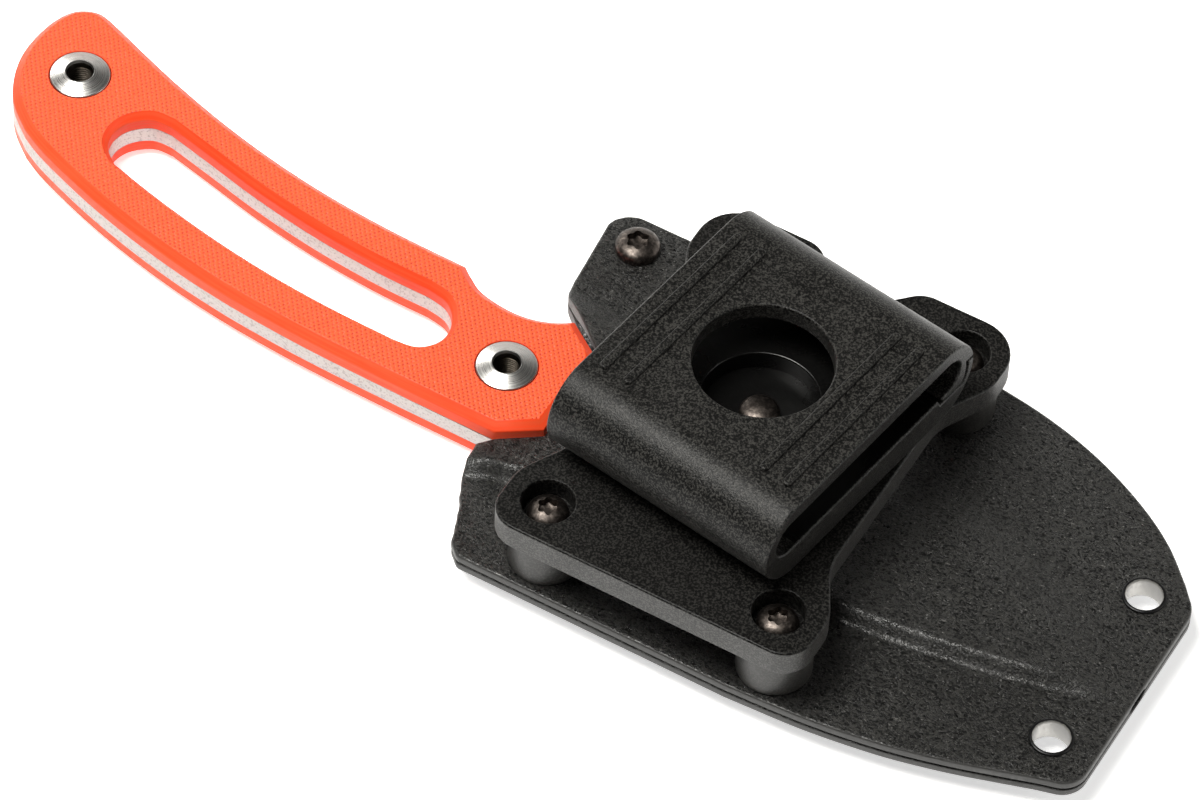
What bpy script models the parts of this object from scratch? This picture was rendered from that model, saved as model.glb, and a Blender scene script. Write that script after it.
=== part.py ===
"""A fixed-blade knife with a skeleton handle, in a two-shell sheath that carries a swivelling belt loop.

The knife lies along X with its butt at -X and its cutting edge towards +Y. The belt loop is on the +Z side.
Outlines are in millimetres from the design point: x and y as below, and z = 0 in the middle of the blade.
The origin of the finished part is at the middle of its base, and the part_base empty makes that shift.
"""

import math

import bmesh
import bpy

MM = 0.001
GAP = 0.3  # between pieces that touch on the real object

# Overall extents of the object, which place its origin.
BUTT_X = -116.0
SHEATH_END_X = 100.3
PLATE_LOW_Y = -40.0
SHEATH_HIGH_Y = 35.2

# Knife
BLADE_HALF = 1.5
EDGE_HALF = 0.25
SCALE_TOP = 4.8
CHAMFER_DOWN = 1.2
CHAMFER_IN = 1.4
SLEEVE_SPOTS = {"butt": (-104.8, 11.2), "guard": (-14.3, -5.1)}
SLEEVE_RIM_R = 4.95
SLEEVE_R = 3.3
SLEEVE_BORE_R = 2.1
SLEEVE_RIM_DEEP = 1.2
SLEEVE_CONE_HIGH = 0.9
SLEEVE_MOUTH_R = 2.4
SLEEVE_MOUTH_DEEP = 0.5
SLEEVE_FOOT = -1.2
SCALE_SCREW_END = 0.4
SCALE_SOCKET_R = 1.3
SCALE_SOCKET_DEEP = 2.0
SCALE_DISH_DEEP = 0.8
SCALE_DISH_IN = 0.35

# Sheath
FLANGE_TOP = 1.75
FLANGE_INSIDE = GAP / 2
POCKET_TOP = 3.4
POCKET_INSIDE = BLADE_HALF + GAP
POCKET_EDGE_INSIDE = 0.6
EYELET_SPOTS = {"upper": (92.3, 9.2), "lower": (92.6, -22.5)}
EYELET_BORE_R = 2.9
EYELET_R = 3.1
EYELET_RIM_R = 3.55
EYELET_RIM_HIGH = 0.4
EAR_SCREW_SPOT = (-9.8, 29.0)
NUT_FLANGE_R = 4.2
NUT_BARREL_R = 2.4
NUT_FLANGE_HIGH = 1.0
NUT_TOP = FLANGE_TOP - 0.2
SCREW_R = 1.5
SCREW_END = -1.5
EAR_HEAD_R = 3.7
EAR_HEAD_HIGH = 2.3
BULGE_ROOT = 0.7
DRAIN_HALF = 0.9
DRAIN_OUTLINE = [(92, -10.4), (104, -9.7), (104, -6.0), (92, -6.6)]
BEYOND = 5.0  # reach of a cutter past the faces of the sheath

# Clip plate
PIVOT = (29.3, -2.6)
PLATE_LOW = 10.5
PLATE_TOP = 15.5
PLATE_SCREW_X = 20.3
PLATE_SCREW_Y = 30.0
SPACER_R = 6.0
COUNTERBORE_R = 4.2
COUNTERBORE_FLOOR = 11.9
PLATE_SCREW_HEAD_R = 3.3
PLATE_SCREW_HEAD_HIGH = 2.4
SWIVEL_SCREW_R = 2.1
SWIVEL_HOLE_R = SWIVEL_SCREW_R + GAP
SWIVEL_HEAD_R = 3.2
SWIVEL_HEAD_TOP = 20.5
SWIVEL_NUT_R = 4.0
SWIVEL_NUT_HIGH = 2.3

# Belt loop, in its own frame: u runs through the loop, v across it, and both start at the pivot.
LOOP_TURN_DEG = -8.5
LOOP_HALF_WIDE = 21.4
LOOP_R = 7.9
LOOP_END_V = 26.5
LOOP_ARC_V = LOOP_END_V - LOOP_R
LOOP_BOTTOM = PLATE_TOP + GAP
LOOP_MIDDLE = LOOP_BOTTOM + LOOP_R
LOOP_TOP = LOOP_BOTTOM + 2 * LOOP_R
FLOOR_TOP = LOOP_BOTTOM + 5.9
PASSAGE_R = 3.4
PASSAGE_MIDDLE = FLOOR_TOP + PASSAGE_R
NEAR_PASSAGE_V = -20.5
FAR_PASSAGE_V = 19.4
LIP_R = 6.4
TOE_R = LIP_R - GAP
LIP_TOP = LOOP_MIDDLE + 1.1
TOE_FLOOR = LOOP_MIDDLE - 3.5
TOE_END_V = 21.3
TOE_ARC_DEG = -68
LIP_FOOT_V = 18.4
FLOOR_END_V = 17.6
LOOP_HOLE_R = 11.1
RECESS_R = 9.5
RECESS_FLOOR = LOOP_BOTTOM + 2.4
RIB_HIGH = 0.6
RIB_WIDE = 1.5
RIB_LONG = 34.8
RIB_SPOTS = (-18.1, -13.4, 12.9, 17.4)

COLOURS = {  # name: (colour, roughness, metallic)
    "orange_laminate": ((0.95, 0.13, 0.045), 0.55, 0.0),
    "satin_steel": ((0.62, 0.61, 0.60), 0.38, 1.0),
    "polished_steel": ((0.72, 0.71, 0.70), 0.18, 1.0),
    "sheath_black": ((0.022, 0.022, 0.023), 0.5, 0.0),
    "plate_black": ((0.03, 0.03, 0.031), 0.6, 0.0),
    "dark_screw": ((0.16, 0.14, 0.13), 0.32, 1.0),
}


def clear_scene():
    for thing in list(bpy.data.objects):
        bpy.data.objects.remove(thing)


def material(name):
    if name in bpy.data.materials:
        return bpy.data.materials[name]
    colour, roughness, metallic = COLOURS[name]
    made = bpy.data.materials.new(name)
    made.use_nodes = True
    shader = made.node_tree.nodes["Principled BSDF"]
    shader.inputs["Base Color"].default_value = (*colour, 1.0)
    shader.inputs["Roughness"].default_value = roughness
    shader.inputs["Metallic"].default_value = metallic
    return made


def empty(name, parent, place, turn_deg=0.0):
    made = bpy.data.objects.new(name, None)
    bpy.context.scene.collection.objects.link(made)
    made.parent = parent
    made.location = [MM * value for value in place]
    made.rotation_euler[2] = math.radians(turn_deg)
    return made


# Outlines: lists of (x, y) points in millimetres, anticlockwise.


def arc(centre_x, centre_y, radius, start_deg, end_deg, steps):
    points = []
    for step in range(steps + 1):
        angle = math.radians(start_deg + (end_deg - start_deg) * step / steps)
        points.append((centre_x + radius * math.cos(angle), centre_y + radius * math.sin(angle)))
    return points


def circle(x, y, radius, sides=32):
    return arc(x, y, radius, 0, 360, sides)[:-1]


def curve(knots, steps):
    """A smooth line through the knots, without its last point."""
    ends = [knots[0], *knots, knots[-1]]
    points = []
    for a, b, c, d in zip(ends, ends[1:], ends[2:], ends[3:]):
        for step in range(steps):
            t = step / steps
            points.append(
                tuple(
                    b[i]
                    + 0.5 * t * (c[i] - a[i])
                    + t * t * (a[i] - 2.5 * b[i] + 2 * c[i] - 0.5 * d[i])
                    + 0.5 * t**3 * (3 * b[i] - 3 * c[i] + d[i] - a[i])
                    for i in (0, 1)
                )
            )
    return points


def rounded(corners, steps=5):
    """A polygon from (x, y, radius) corners, each turned by an arc of that radius."""
    points = []
    count = len(corners)
    for index, (x, y, radius) in enumerate(corners):
        before = corners[index - 1]
        after = corners[(index + 1) % count]
        if radius == 0:
            points.append((x, y))
            continue
        in_x, in_y = unit(x - before[0], y - before[1])
        out_x, out_y = unit(after[0] - x, after[1] - y)
        turn = math.atan2(in_x * out_y - in_y * out_x, in_x * out_x + in_y * out_y)
        reach = radius * math.tan(abs(turn) / 2)
        side = math.copysign(1, turn)
        centre_x = x - in_x * reach - side * in_y * radius
        centre_y = y - in_y * reach + side * in_x * radius
        start = math.degrees(math.atan2(-side * in_x, side * in_y))
        points += arc(centre_x, centre_y, radius, start, start + math.degrees(turn), steps)
    return points


def unit(x, y):
    length = math.hypot(x, y)
    return x / length, y / length


def moved_out(outline, distance):
    """The outline with each point moved outwards, or inwards for a negative distance."""
    points = []
    for index, (x, y) in enumerate(outline):
        before = outline[index - 1]
        after = outline[(index + 1) % len(outline)]
        a_x, a_y = unit(x - before[0], y - before[1])
        b_x, b_y = unit(after[0] - x, after[1] - y)
        along_x, along_y = unit(a_x + b_x, a_y + b_y)
        stretch = 1 / max(0.5, along_x * b_x + along_y * b_y)
        points.append((x + along_y * distance * stretch, y - along_x * distance * stretch))
    return points


# Solids


def new_solid(name, mesh_data, finish, parent, shift=(0, 0, 0)):
    mesh = bpy.data.meshes.new(name)
    bmesh.ops.recalc_face_normals(mesh_data, faces=mesh_data.faces)
    mesh_data.to_mesh(mesh)
    mesh_data.free()
    mesh.materials.append(material(finish))
    made = bpy.data.objects.new(name, mesh)
    bpy.context.scene.collection.objects.link(made)
    made.parent = parent
    made.location = [MM * value for value in shift]
    return made


def stack(name, rings, finish, parent, shift=(0, 0, 0)):
    """A closed solid through rings of (outline, z), all with the same number of points."""
    data = bmesh.new()
    layers = [[data.verts.new((MM * x, MM * y, MM * z)) for x, y in outline] for outline, z in rings]
    for low, high in zip(layers, layers[1:]):
        for index in range(len(low)):
            data.faces.new((low[index - 1], low[index], high[index], high[index - 1]))
    data.faces.new(layers[0][::-1])
    data.faces.new(layers[-1])
    return new_solid(name, data, finish, parent, shift)


def prism(name, outline, low, high, finish, parent, shift=(0, 0, 0)):
    return stack(name, [(outline, low), (outline, high)], finish, parent, shift)


def turned(name, profile, finish, parent, spot, sides=20):
    """A solid of revolution about Z through spot, from (radius, z) points. Radius 0 is on the axis."""
    data = bmesh.new()
    rings = []
    for radius, z in profile:
        if radius == 0:
            rings.append([data.verts.new((0, 0, MM * z))] * sides)
        else:
            rings.append([data.verts.new((MM * x, MM * y, MM * z)) for x, y in circle(0, 0, radius, sides)])
    closed = [*rings, rings[0]] if profile[0][0] and profile[-1][0] else rings
    for first, second in zip(closed, closed[1:]):
        for index in range(sides):
            corners = [first[index - 1], first[index], second[index], second[index - 1]]
            data.faces.new(list(dict.fromkeys(corners)))
    made = new_solid(name, data, finish, parent, (*spot, 0))
    made.data.shade_smooth()
    made.data.set_sharp_from_angle(angle=math.radians(35))
    return made


def side_extrusion(name, outline, half_wide, finish, parent, shift=(0, 0, 0)):
    """A solid whose section is the (v, z) outline and which runs along u, from -half_wide to half_wide."""
    data = bmesh.new()
    ends = [[data.verts.new((MM * u, MM * v, MM * z)) for v, z in outline] for u in (-half_wide, half_wide)]
    for index in range(len(outline)):
        data.faces.new((ends[0][index - 1], ends[0][index], ends[1][index], ends[1][index - 1]))
    data.faces.new(ends[0][::-1])
    data.faces.new(ends[1])
    return new_solid(name, data, finish, parent, shift)


def combine(target, tool, operation):
    tool.hide_render = True
    tool.display_type = "WIRE"
    step = target.modifiers.new(f"{operation.lower()} {tool.name}", "BOOLEAN")
    step.operation = operation
    step.object = tool
    step.solver = "EXACT"


def drill(target, name, spot, radius, low, high, parent, shift=(0, 0, 0), sides=24):
    hole = prism(name, circle(*spot, radius, sides), low, high, "dark_screw", parent, shift)
    combine(target, hole, "DIFFERENCE")


# Outlines of the knife

SPINE_OF_HANDLE = [
    (-106.5, -2.75), (-101.5, -5.2), (-91.5, -8.75), (-81.5, -11.55), (-71.5, -13.7), (-61.5, -15.2),
    (-51.5, -16.1), (-41.5, -16.6), (-25, -16.9),
]
FINGER_SIDE = [(-30.7, 9.85), (-45.7, 10.2), (-60.7, 11.6), (-75.7, 14.4), (-90.7, 18.6), (-105.7, 23.95)]
FINGER_NOTCH = [
    (-10, 9.05), (-13, 7.2), (-16.5, 6.0), (-20.7, 5.75), (-25.7, 6.6), (-28.8, 8.4), (-30.7, 9.85),
]
BUTT_END = [
    (-105.7, 23.95), (-109.9, 25.0), (-113.5, 23.3), (-115.4, 19.4), (BUTT_X, 14.3), (-115.6, 9.9),
    (-114, 5.4), (-111.2, 1.1), (-106.5, -2.75),
]


def handle_outline(front):
    """The grip, closed at its front by the points given, which run from the spine to the notch."""
    return [
        *curve(SPINE_OF_HANDLE, 2), SPINE_OF_HANDLE[-1], *front,
        *curve(FINGER_NOTCH, 2), *curve(FINGER_SIDE, 2), *curve(BUTT_END, 2),
    ]


def slot_outline():
    far_side = [(-33.5, 2.75), (-43.5, 2.9), (-55.5, 3.95), (-67.5, 5.9), (-78.5, 8.4), (-86.5, 10.2)]
    left_end = [(-86.5, 10.2), (-90, 9.9), (-92.9, 7.4), (-93.9, 4.2), (-93, 1.1), (-90.2, -1.3)]
    near_side = [(-90.2, -1.3), (-80.7, -3.75), (-68.7, -6.2), (-56.7, -7.9), (-44.7, -8.8), (-32.7, -9.05)]
    right_end = [
        (-32.7, -9.05), (-29, -8.5), (-26.7, -6.3), (-26.1, -3.4), (-27.3, -0.2), (-29.8, 2.0), (-33.5, 2.75),
    ]
    return [*curve(far_side, 2), *curve(left_end, 2), *curve(near_side, 2), *curve(right_end, 2)]


def blade_outlines():
    """The outline at the cutting edge, and the one at full thickness, where the ground bevel starts."""
    spine = [(-25, -16.9), (10, -17.2), (40, -17.4), (58, -16.9), (74, -14.7), (86, -12.2), (94.5, -9.5)]
    edge = [(94.5, -9.5), (91, -4.6), (84, 1.4), (72, 8.2), (58, 12), (40, 13.2), (20, 12.2), (4, 9.5)]
    grind = [(92.5, -10), (88, -8.6), (81, -5.5), (70, -1.8), (57, 0.4), (40, 1), (20, 1), (6, 1)]
    choil = [(2.6, 8.6), (1.2, 6.0), (-4.6, 5.35)]
    outlines = []
    for side in (edge, grind):
        front = [*curve(spine, 2)[1:], *curve(side, 2), side[-1], *choil]
        outlines.append(handle_outline(front))
    return outlines


def scale_outline():
    return handle_outline([(-9.7, -16.9), (-3.2, -12.4), (-3.2, 3.6), (-4.6, 5.35)])


# Outlines of the sheath


def shell_outline():
    lower_side = [(45, -39.8), (58, -39), (70, -37.3), (80, -34.9), (88, -32.4), (94.6, -30.2)]
    upper_side = [(96.9, 14.6), (91, 20.3), (84, 25), (75, 29.4), (65, 32.6), (54, 34.5), (42, SHEATH_HIGH_Y)]
    lower_corner = arc(95.9, -25.3, 4.4, -70, 0, 5)
    upper_corner = arc(94.8, 8.6, 5.5, 0, 44, 4)
    ear = arc(-12, 30.6, 4.6, 90, 172, 6)
    mouth = rounded(
        [
            (-15.2, 18, 0), (-14.6, 14.6, 3), (-10.4, 11.3, 3), (-4.6, 6.6, 2), (-2.4, 4.4, 1.5),
            (-2.4, -12.9, 1), (-9.3, -17.9, 1.5), (-11.2, -20.2, 1.5), (-10.3, -25.7, 5), (-6.9, -32.8, 12),
            (-5, -37.9, 2), (-2.9, -39.8, 1.5), (45, -39.8, 0),
        ],
        4,
    )[:-1]
    top_end = (42, SHEATH_HIGH_Y)
    return [*curve(lower_side, 2), *lower_corner, *upper_corner, *curve(upper_side, 2), top_end, *ear, *mouth]


def tunnel_outlines():
    """The blade's space: its outline beside the edge, and the one at full depth."""
    low_side = [(-20, -17.9), (20, -17.9), (40, -17.9), (58, -17.4), (74, -15.2), (86, -12.8), (97, -10)]
    beside_edge = [(97, -9), (92.6, -3.6), (85.2, 2.4), (73, 9.2), (58.5, 13), (42, 13.9), (14, 13.9)]
    full_depth = [(94.5, -9.6), (89, -7.9), (82, -4.8), (71, -1), (58, 1.2), (42, 1.8), (14, 1.8)]
    beside_mouth = [(4.5, 13.9), (-20, 13.9)]
    deep_mouth = [(4.5, 10.5), (-20, 10.5)]
    low = [*curve(low_side, 2), low_side[-1]]
    outer = [*low, *curve(beside_edge, 2), beside_edge[-1], *beside_mouth]
    return outer, [*low, *curve(full_depth, 2), full_depth[-1], *deep_mouth]


def bulge_outlines():
    """The raised pocket over the blade: its foot on the flange, and its flat top."""
    foot_low = [
        (-18, -28.5), (-10.5, -25.6), (-3, -22.6), (6, -20.4), (20, -19.7), (40, -19.6), (58, -19.1),
        (74, -16.9), (86, -14.4), (98, -11.4),
    ]
    top_low = [
        (-18, -25.5), (-10.5, -22.8), (-3, -20.4), (6, -19), (20, -18.4), (40, -18.3), (58, -17.8),
        (74, -15.6), (86, -13.2), (94, -11.4),
    ]
    foot_high = [(98.5, -8.6), (94, -1.8), (86.5, 4.2), (74, 11.2), (59, 15.4), (42, 16.6), (14, 16.6)]
    top_high = [(93.2, -10), (88, -7.6), (81, -4.4), (70.5, -0.6), (58, 1.6), (42, 2.4), (14, 3)]
    foot = [*curve(foot_low, 2), foot_low[-1], *curve(foot_high, 2), foot_high[-1], (5, 16.6), (-18, 16.6)]
    top = [*curve(top_low, 2), top_low[-1], *curve(top_high, 2), top_high[-1], (5, 12.4), (-18, 12.4)]
    return foot, top


def plate_outline():
    """The clip plate about the pivot: four ears, drawn-in sides, and a dip in the far edge."""
    side = [(27.6, -26.8, 8), (22.8, -18.2, 10), (22.8, 17.2, 10), (27.6, 26, 8)]
    far_edge = [
        (27.6, 37.3, 7), (9.4, 37.3, 5), (4.6, 32.4, 5), (-4.6, 32.4, 5), (-9.4, 37.3, 5), (-27.6, 37.3, 7),
    ]
    corners = [
        (-27.6, -37.4, 5), (27.6, -37.4, 5), *side, *far_edge,
        *[(-x, y, radius) for x, y, radius in side[::-1]],
    ]
    return [(x + PIVOT[0], y + PIVOT[1]) for x, y in rounded(corners)]


# Knife


def blade(parent):
    at_edge, at_grind = blade_outlines()
    rings = [(at_grind, -BLADE_HALF), (at_edge, -EDGE_HALF), (at_edge, EDGE_HALF), (at_grind, BLADE_HALF)]
    made = stack("blade", rings, "satin_steel", parent)
    slot = prism("tang_slot", slot_outline(), -2 * BLADE_HALF, 2 * BLADE_HALF, "satin_steel", parent)
    combine(made, slot, "DIFFERENCE")
    for name, spot in SLEEVE_SPOTS.items():
        drill(made, f"{name}_tang_hole", spot, SLEEVE_R + GAP, -2 * BLADE_HALF, 2 * BLADE_HALF, parent)


def scale(name, side, parent):
    """One handle slab, with side 1 on the clip side and -1 on the other."""
    outline = scale_outline()
    inside = side * (BLADE_HALF + GAP)
    shoulder = side * (SCALE_TOP - CHAMFER_DOWN)
    top = side * SCALE_TOP
    beyond = side * (SCALE_TOP + CHAMFER_DOWN)
    rings = [(outline, inside), (outline, shoulder), (moved_out(outline, -CHAMFER_IN), top)]
    made = stack(name, rings, "orange_laminate", parent)
    slot = slot_outline()
    wide = 2 * CHAMFER_IN
    cut = [(slot, 0), (slot, shoulder), (moved_out(slot, wide), beyond)]
    combine(made, stack(f"{name}_slot", cut, "orange_laminate", parent), "DIFFERENCE")
    for spot_name, spot in SLEEVE_SPOTS.items():
        low, high = sorted((0, beyond))
        drill(made, f"{name}_{spot_name}_hole", spot, SLEEVE_R + GAP, low, high, parent)
        floor = side * (SCALE_TOP - SLEEVE_RIM_DEEP - GAP)
        low, high = sorted((floor, beyond))
        drill(made, f"{name}_{spot_name}_seat", spot, SLEEVE_RIM_R + GAP, low, high, parent, sides=32)


def sleeve_nut(name, spot, parent):
    """A raised conical head on a tube that passes through the front slab and the tang."""
    rim_under = SCALE_TOP - SLEEVE_RIM_DEEP
    cone_top = SCALE_TOP + SLEEVE_CONE_HIGH
    profile = [
        (SLEEVE_BORE_R, SLEEVE_FOOT), (SLEEVE_R, SLEEVE_FOOT), (SLEEVE_R, rim_under),
        (SLEEVE_RIM_R, rim_under), (SLEEVE_RIM_R, SCALE_TOP), (SLEEVE_MOUTH_R, cone_top),
        (SLEEVE_BORE_R, cone_top - SLEEVE_MOUTH_DEEP),
    ]
    turned(name, profile, "polished_steel", parent, spot, sides=32)


def scale_screw(name, spot, parent):
    """The screw from the back, with a dished flush head, a blind socket and a plain shank in the sleeve."""
    shank_r = SLEEVE_BORE_R - GAP
    face = -SCALE_TOP
    head_under = SLEEVE_RIM_DEEP - SCALE_TOP
    socket_floor = face + SCALE_SOCKET_DEEP
    profile = [
        (0, socket_floor), (SCALE_SOCKET_R, socket_floor), (SCALE_SOCKET_R, face + SCALE_DISH_DEEP),
        (SLEEVE_RIM_R - SCALE_DISH_IN, face), (SLEEVE_RIM_R, face), (SLEEVE_RIM_R, head_under),
        (shank_r, head_under), (shank_r, SCALE_SCREW_END), (0, SCALE_SCREW_END),
    ]
    turned(name, profile, "polished_steel", parent, spot, sides=32)


# Sheath


def fixing_spots():
    """Where a screw passes through both shells: the ear's, then the four under the clip plate."""
    plate = [
        (PIVOT[0] + side_x * PLATE_SCREW_X, PIVOT[1] + side_y * PLATE_SCREW_Y)
        for side_y in (-1, 1)
        for side_x in (-1, 1)
    ]
    return EAR_SCREW_SPOT, plate


def shell(name, side, parent):
    """One half of the sheath, with side 1 on the clip side and -1 on the other."""
    outline = shell_outline()
    ear_spot, plate_spots = fixing_spots()
    made = prism(name, outline, side * FLANGE_INSIDE, side * FLANGE_TOP, "sheath_black", parent)
    foot, top = bulge_outlines()
    bulge_rings = [(foot, side * BULGE_ROOT), (foot, side * FLANGE_TOP), (top, side * POCKET_TOP)]
    bulge = stack(f"{name}_bulge", bulge_rings, "sheath_black", parent)
    combine(made, bulge, "UNION")
    trim = prism(f"{name}_trim", outline, -2 * POCKET_TOP, 2 * POCKET_TOP, "sheath_black", parent)
    combine(made, trim, "INTERSECT")
    beside_edge, full_depth = tunnel_outlines()
    tunnel_rings = [
        (full_depth, -POCKET_INSIDE), (beside_edge, -POCKET_EDGE_INSIDE),
        (beside_edge, POCKET_EDGE_INSIDE), (full_depth, POCKET_INSIDE),
    ]
    combine(made, stack(f"{name}_tunnel", tunnel_rings, "sheath_black", parent), "DIFFERENCE")
    drain = prism(f"{name}_drain", DRAIN_OUTLINE, -DRAIN_HALF, DRAIN_HALF, "sheath_black", parent)
    combine(made, drain, "DIFFERENCE")
    for index, spot in enumerate([ear_spot, *plate_spots]):
        drill(made, f"{name}_hole_{index}", spot, NUT_BARREL_R + GAP, -BEYOND, BEYOND, parent)
    for eyelet_name, spot in EYELET_SPOTS.items():
        drill(made, f"{name}_{eyelet_name}_hole", spot, EYELET_R + GAP, -BEYOND, BEYOND, parent)


def eyelet(name, spot, parent):
    """A tube with a flat rim over each face of the sheath."""
    under = FLANGE_TOP + GAP
    over = under + EYELET_RIM_HIGH
    profile = [
        (EYELET_BORE_R, -over), (EYELET_RIM_R, -over), (EYELET_RIM_R, -under), (EYELET_R, -under),
        (EYELET_R, under), (EYELET_RIM_R, under), (EYELET_RIM_R, over), (EYELET_BORE_R, over),
    ]
    turned(name, profile, "plate_black", parent, spot, sides=28)


def flange_nut(name, spot, parent):
    """A flange on the back shell, with a threaded barrel that reaches up through both shells."""
    under = -FLANGE_TOP - GAP
    bore = SCREW_R + GAP
    profile = [
        (bore, under - NUT_FLANGE_HIGH), (NUT_FLANGE_R, under - NUT_FLANGE_HIGH), (NUT_FLANGE_R, under),
        (NUT_BARREL_R, under), (NUT_BARREL_R, NUT_TOP), (bore, NUT_TOP),
    ]
    turned(name, profile, "dark_screw", parent, spot)


def button_screw(name, spot, seat, head_r, head_high, shank_r, shank_end, parent, socket=True):
    """A domed head, standing on seat, with a plain shank down to shank_end. The socket is round and blind."""
    socket_r = 0.42 * head_r
    top = seat + head_high
    socket_floor = top - 0.6 * head_high
    dome = [(0.62, 0.88), (0.88, 0.55), (1.0, 0.25), (1.0, 0.0)]  # shares of the head's radius and height
    middle = [(0, socket_floor), (socket_r, socket_floor), (socket_r, top)] if socket else [(0, top)]
    profile = [
        *middle, *[(head_r * out, seat + head_high * up) for out, up in dome],
        (shank_r, seat), (shank_r, shank_end), (0, shank_end),
    ]
    turned(name, profile[::-1], "dark_screw", parent, spot, sides=20)


def clip_plate(parent):
    made = prism("clip_plate", plate_outline(), PLATE_LOW, PLATE_TOP, "plate_black", parent)
    _, spots = fixing_spots()
    for index, spot in enumerate(spots):
        drill(made, f"plate_hole_{index}", spot, SCREW_R + GAP, PLATE_LOW - 1, PLATE_TOP + 1, parent)
        name = f"plate_counterbore_{index}"
        drill(made, name, spot, COUNTERBORE_R, COUNTERBORE_FLOOR, PLATE_TOP + 1, parent)
    drill(made, "plate_swivel_hole", PIVOT, SWIVEL_HOLE_R, PLATE_LOW - 1, PLATE_TOP + 1, parent)


def spacer(name, spot, parent):
    low = FLANGE_TOP + GAP
    high = PLATE_LOW - GAP
    bore = SCREW_R + GAP
    profile = [(bore, low), (SPACER_R, low), (SPACER_R, high), (bore, high)]
    turned(name, profile, "plate_black", parent, spot, sides=28)


def plate_fixings(parent):
    _, spots = fixing_spots()
    for number, spot in enumerate(spots, 1):
        spacer(f"spacer_{number}", spot, parent)
        seat = COUNTERBORE_FLOOR + GAP
        button_screw(
            f"plate_screw_{number}", spot, seat, PLATE_SCREW_HEAD_R, PLATE_SCREW_HEAD_HIGH,
            SCREW_R, SCREW_END, parent,
        )
        flange_nut(f"plate_nut_{number}", spot, parent)


def swivel_nut(parent):
    high = PLATE_LOW - GAP
    low = high - SWIVEL_NUT_HIGH
    nut = prism("swivel_nut", circle(*PIVOT, SWIVEL_NUT_R, 6), low, high, "dark_screw", parent)
    drill(nut, "swivel_nut_bore", PIVOT, SWIVEL_HOLE_R, low - 1, high + 1, parent)


# Belt loop


def loop_base_outline():
    """The lower wall: half of the near end, the floor, and the lip that the arm's toe hooks behind."""
    split = LOOP_MIDDLE - GAP / 2
    inner_start = math.degrees(math.asin((PASSAGE_MIDDLE - split) / PASSAGE_R))
    lip_angle = math.degrees(math.asin((LIP_TOP - LOOP_MIDDLE) / LOOP_R))
    inner_lip_angle = math.degrees(math.asin((LIP_TOP - LOOP_MIDDLE) / LIP_R))
    toe_angle = math.degrees(math.asin((LOOP_MIDDLE - TOE_FLOOR) / LIP_R))
    return [
        *arc(-LOOP_ARC_V, LOOP_MIDDLE, LOOP_R, 181, 270, 8),
        *arc(LOOP_ARC_V, LOOP_MIDDLE, LOOP_R, 270, 360 + lip_angle, 9),
        *arc(LOOP_ARC_V, LOOP_MIDDLE, LIP_R, inner_lip_angle, -toe_angle, 5),
        (LIP_FOOT_V, TOE_FLOOR), (FLOOR_END_V, FLOOR_TOP),
        *arc(NEAR_PASSAGE_V, PASSAGE_MIDDLE, PASSAGE_R, 270, 180 + inner_start, 5),
    ]


def loop_arm_outline():
    """The upper wall: half of the near end, the top, and the far end that steps in to its toe."""
    split = LOOP_MIDDLE + GAP / 2
    step_z = LIP_TOP + GAP
    inner_start = math.degrees(math.asin((PASSAGE_MIDDLE - split) / PASSAGE_R))
    step_angle = math.degrees(math.asin((step_z - LOOP_MIDDLE) / LOOP_R))
    inner_step_angle = math.degrees(math.asin((step_z - LOOP_MIDDLE) / TOE_R))
    toe_low = TOE_FLOOR + GAP
    toe_angle = math.degrees(math.asin((LOOP_MIDDLE - toe_low) / TOE_R))
    return [
        *arc(-LOOP_ARC_V, LOOP_MIDDLE, LOOP_R, 179, 90, 8),
        *arc(LOOP_ARC_V, LOOP_MIDDLE, LOOP_R, 90, step_angle, 8),
        *arc(LOOP_ARC_V, LOOP_MIDDLE, TOE_R, inner_step_angle, -toe_angle, 5),
        (TOE_END_V, toe_low),
        *arc(FAR_PASSAGE_V, PASSAGE_MIDDLE, PASSAGE_R, TOE_ARC_DEG, 90, 8),
        *arc(NEAR_PASSAGE_V, PASSAGE_MIDDLE, PASSAGE_R, 90, 180 + inner_start, 6),
    ]


def loop_base(parent):
    made = side_extrusion("loop_base", loop_base_outline(), LOOP_HALF_WIDE, "plate_black", parent)
    drill(made, "loop_recess", (0, 0), RECESS_R, RECESS_FLOOR, FLOOR_TOP + 2, parent, sides=40)
    drill(made, "loop_swivel_hole", (0, 0), SWIVEL_HOLE_R, LOOP_BOTTOM - 1, FLOOR_TOP, parent)


def loop_arm(parent, hinge_at):
    shift = [-value for value in hinge_at]
    made = side_extrusion("loop_arm", loop_arm_outline(), LOOP_HALF_WIDE, "plate_black", parent, shift)
    for index, u in enumerate(RIB_SPOTS):
        half = RIB_WIDE / 2
        end_v = RIB_LONG / 2 - half
        outline = [*arc(u, end_v, half, 0, 180, 6), *arc(u, -end_v, half, 180, 360, 6)]
        rib = prism(f"rib_{index}", outline, LOOP_TOP - 1, LOOP_TOP + RIB_HIGH, "plate_black", parent, shift)
        combine(made, rib, "UNION")
    high = LOOP_TOP + 2
    drill(made, "loop_access_hole", (0, 0), LOOP_HOLE_R, PASSAGE_MIDDLE, high, parent, shift, sides=48)


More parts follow.
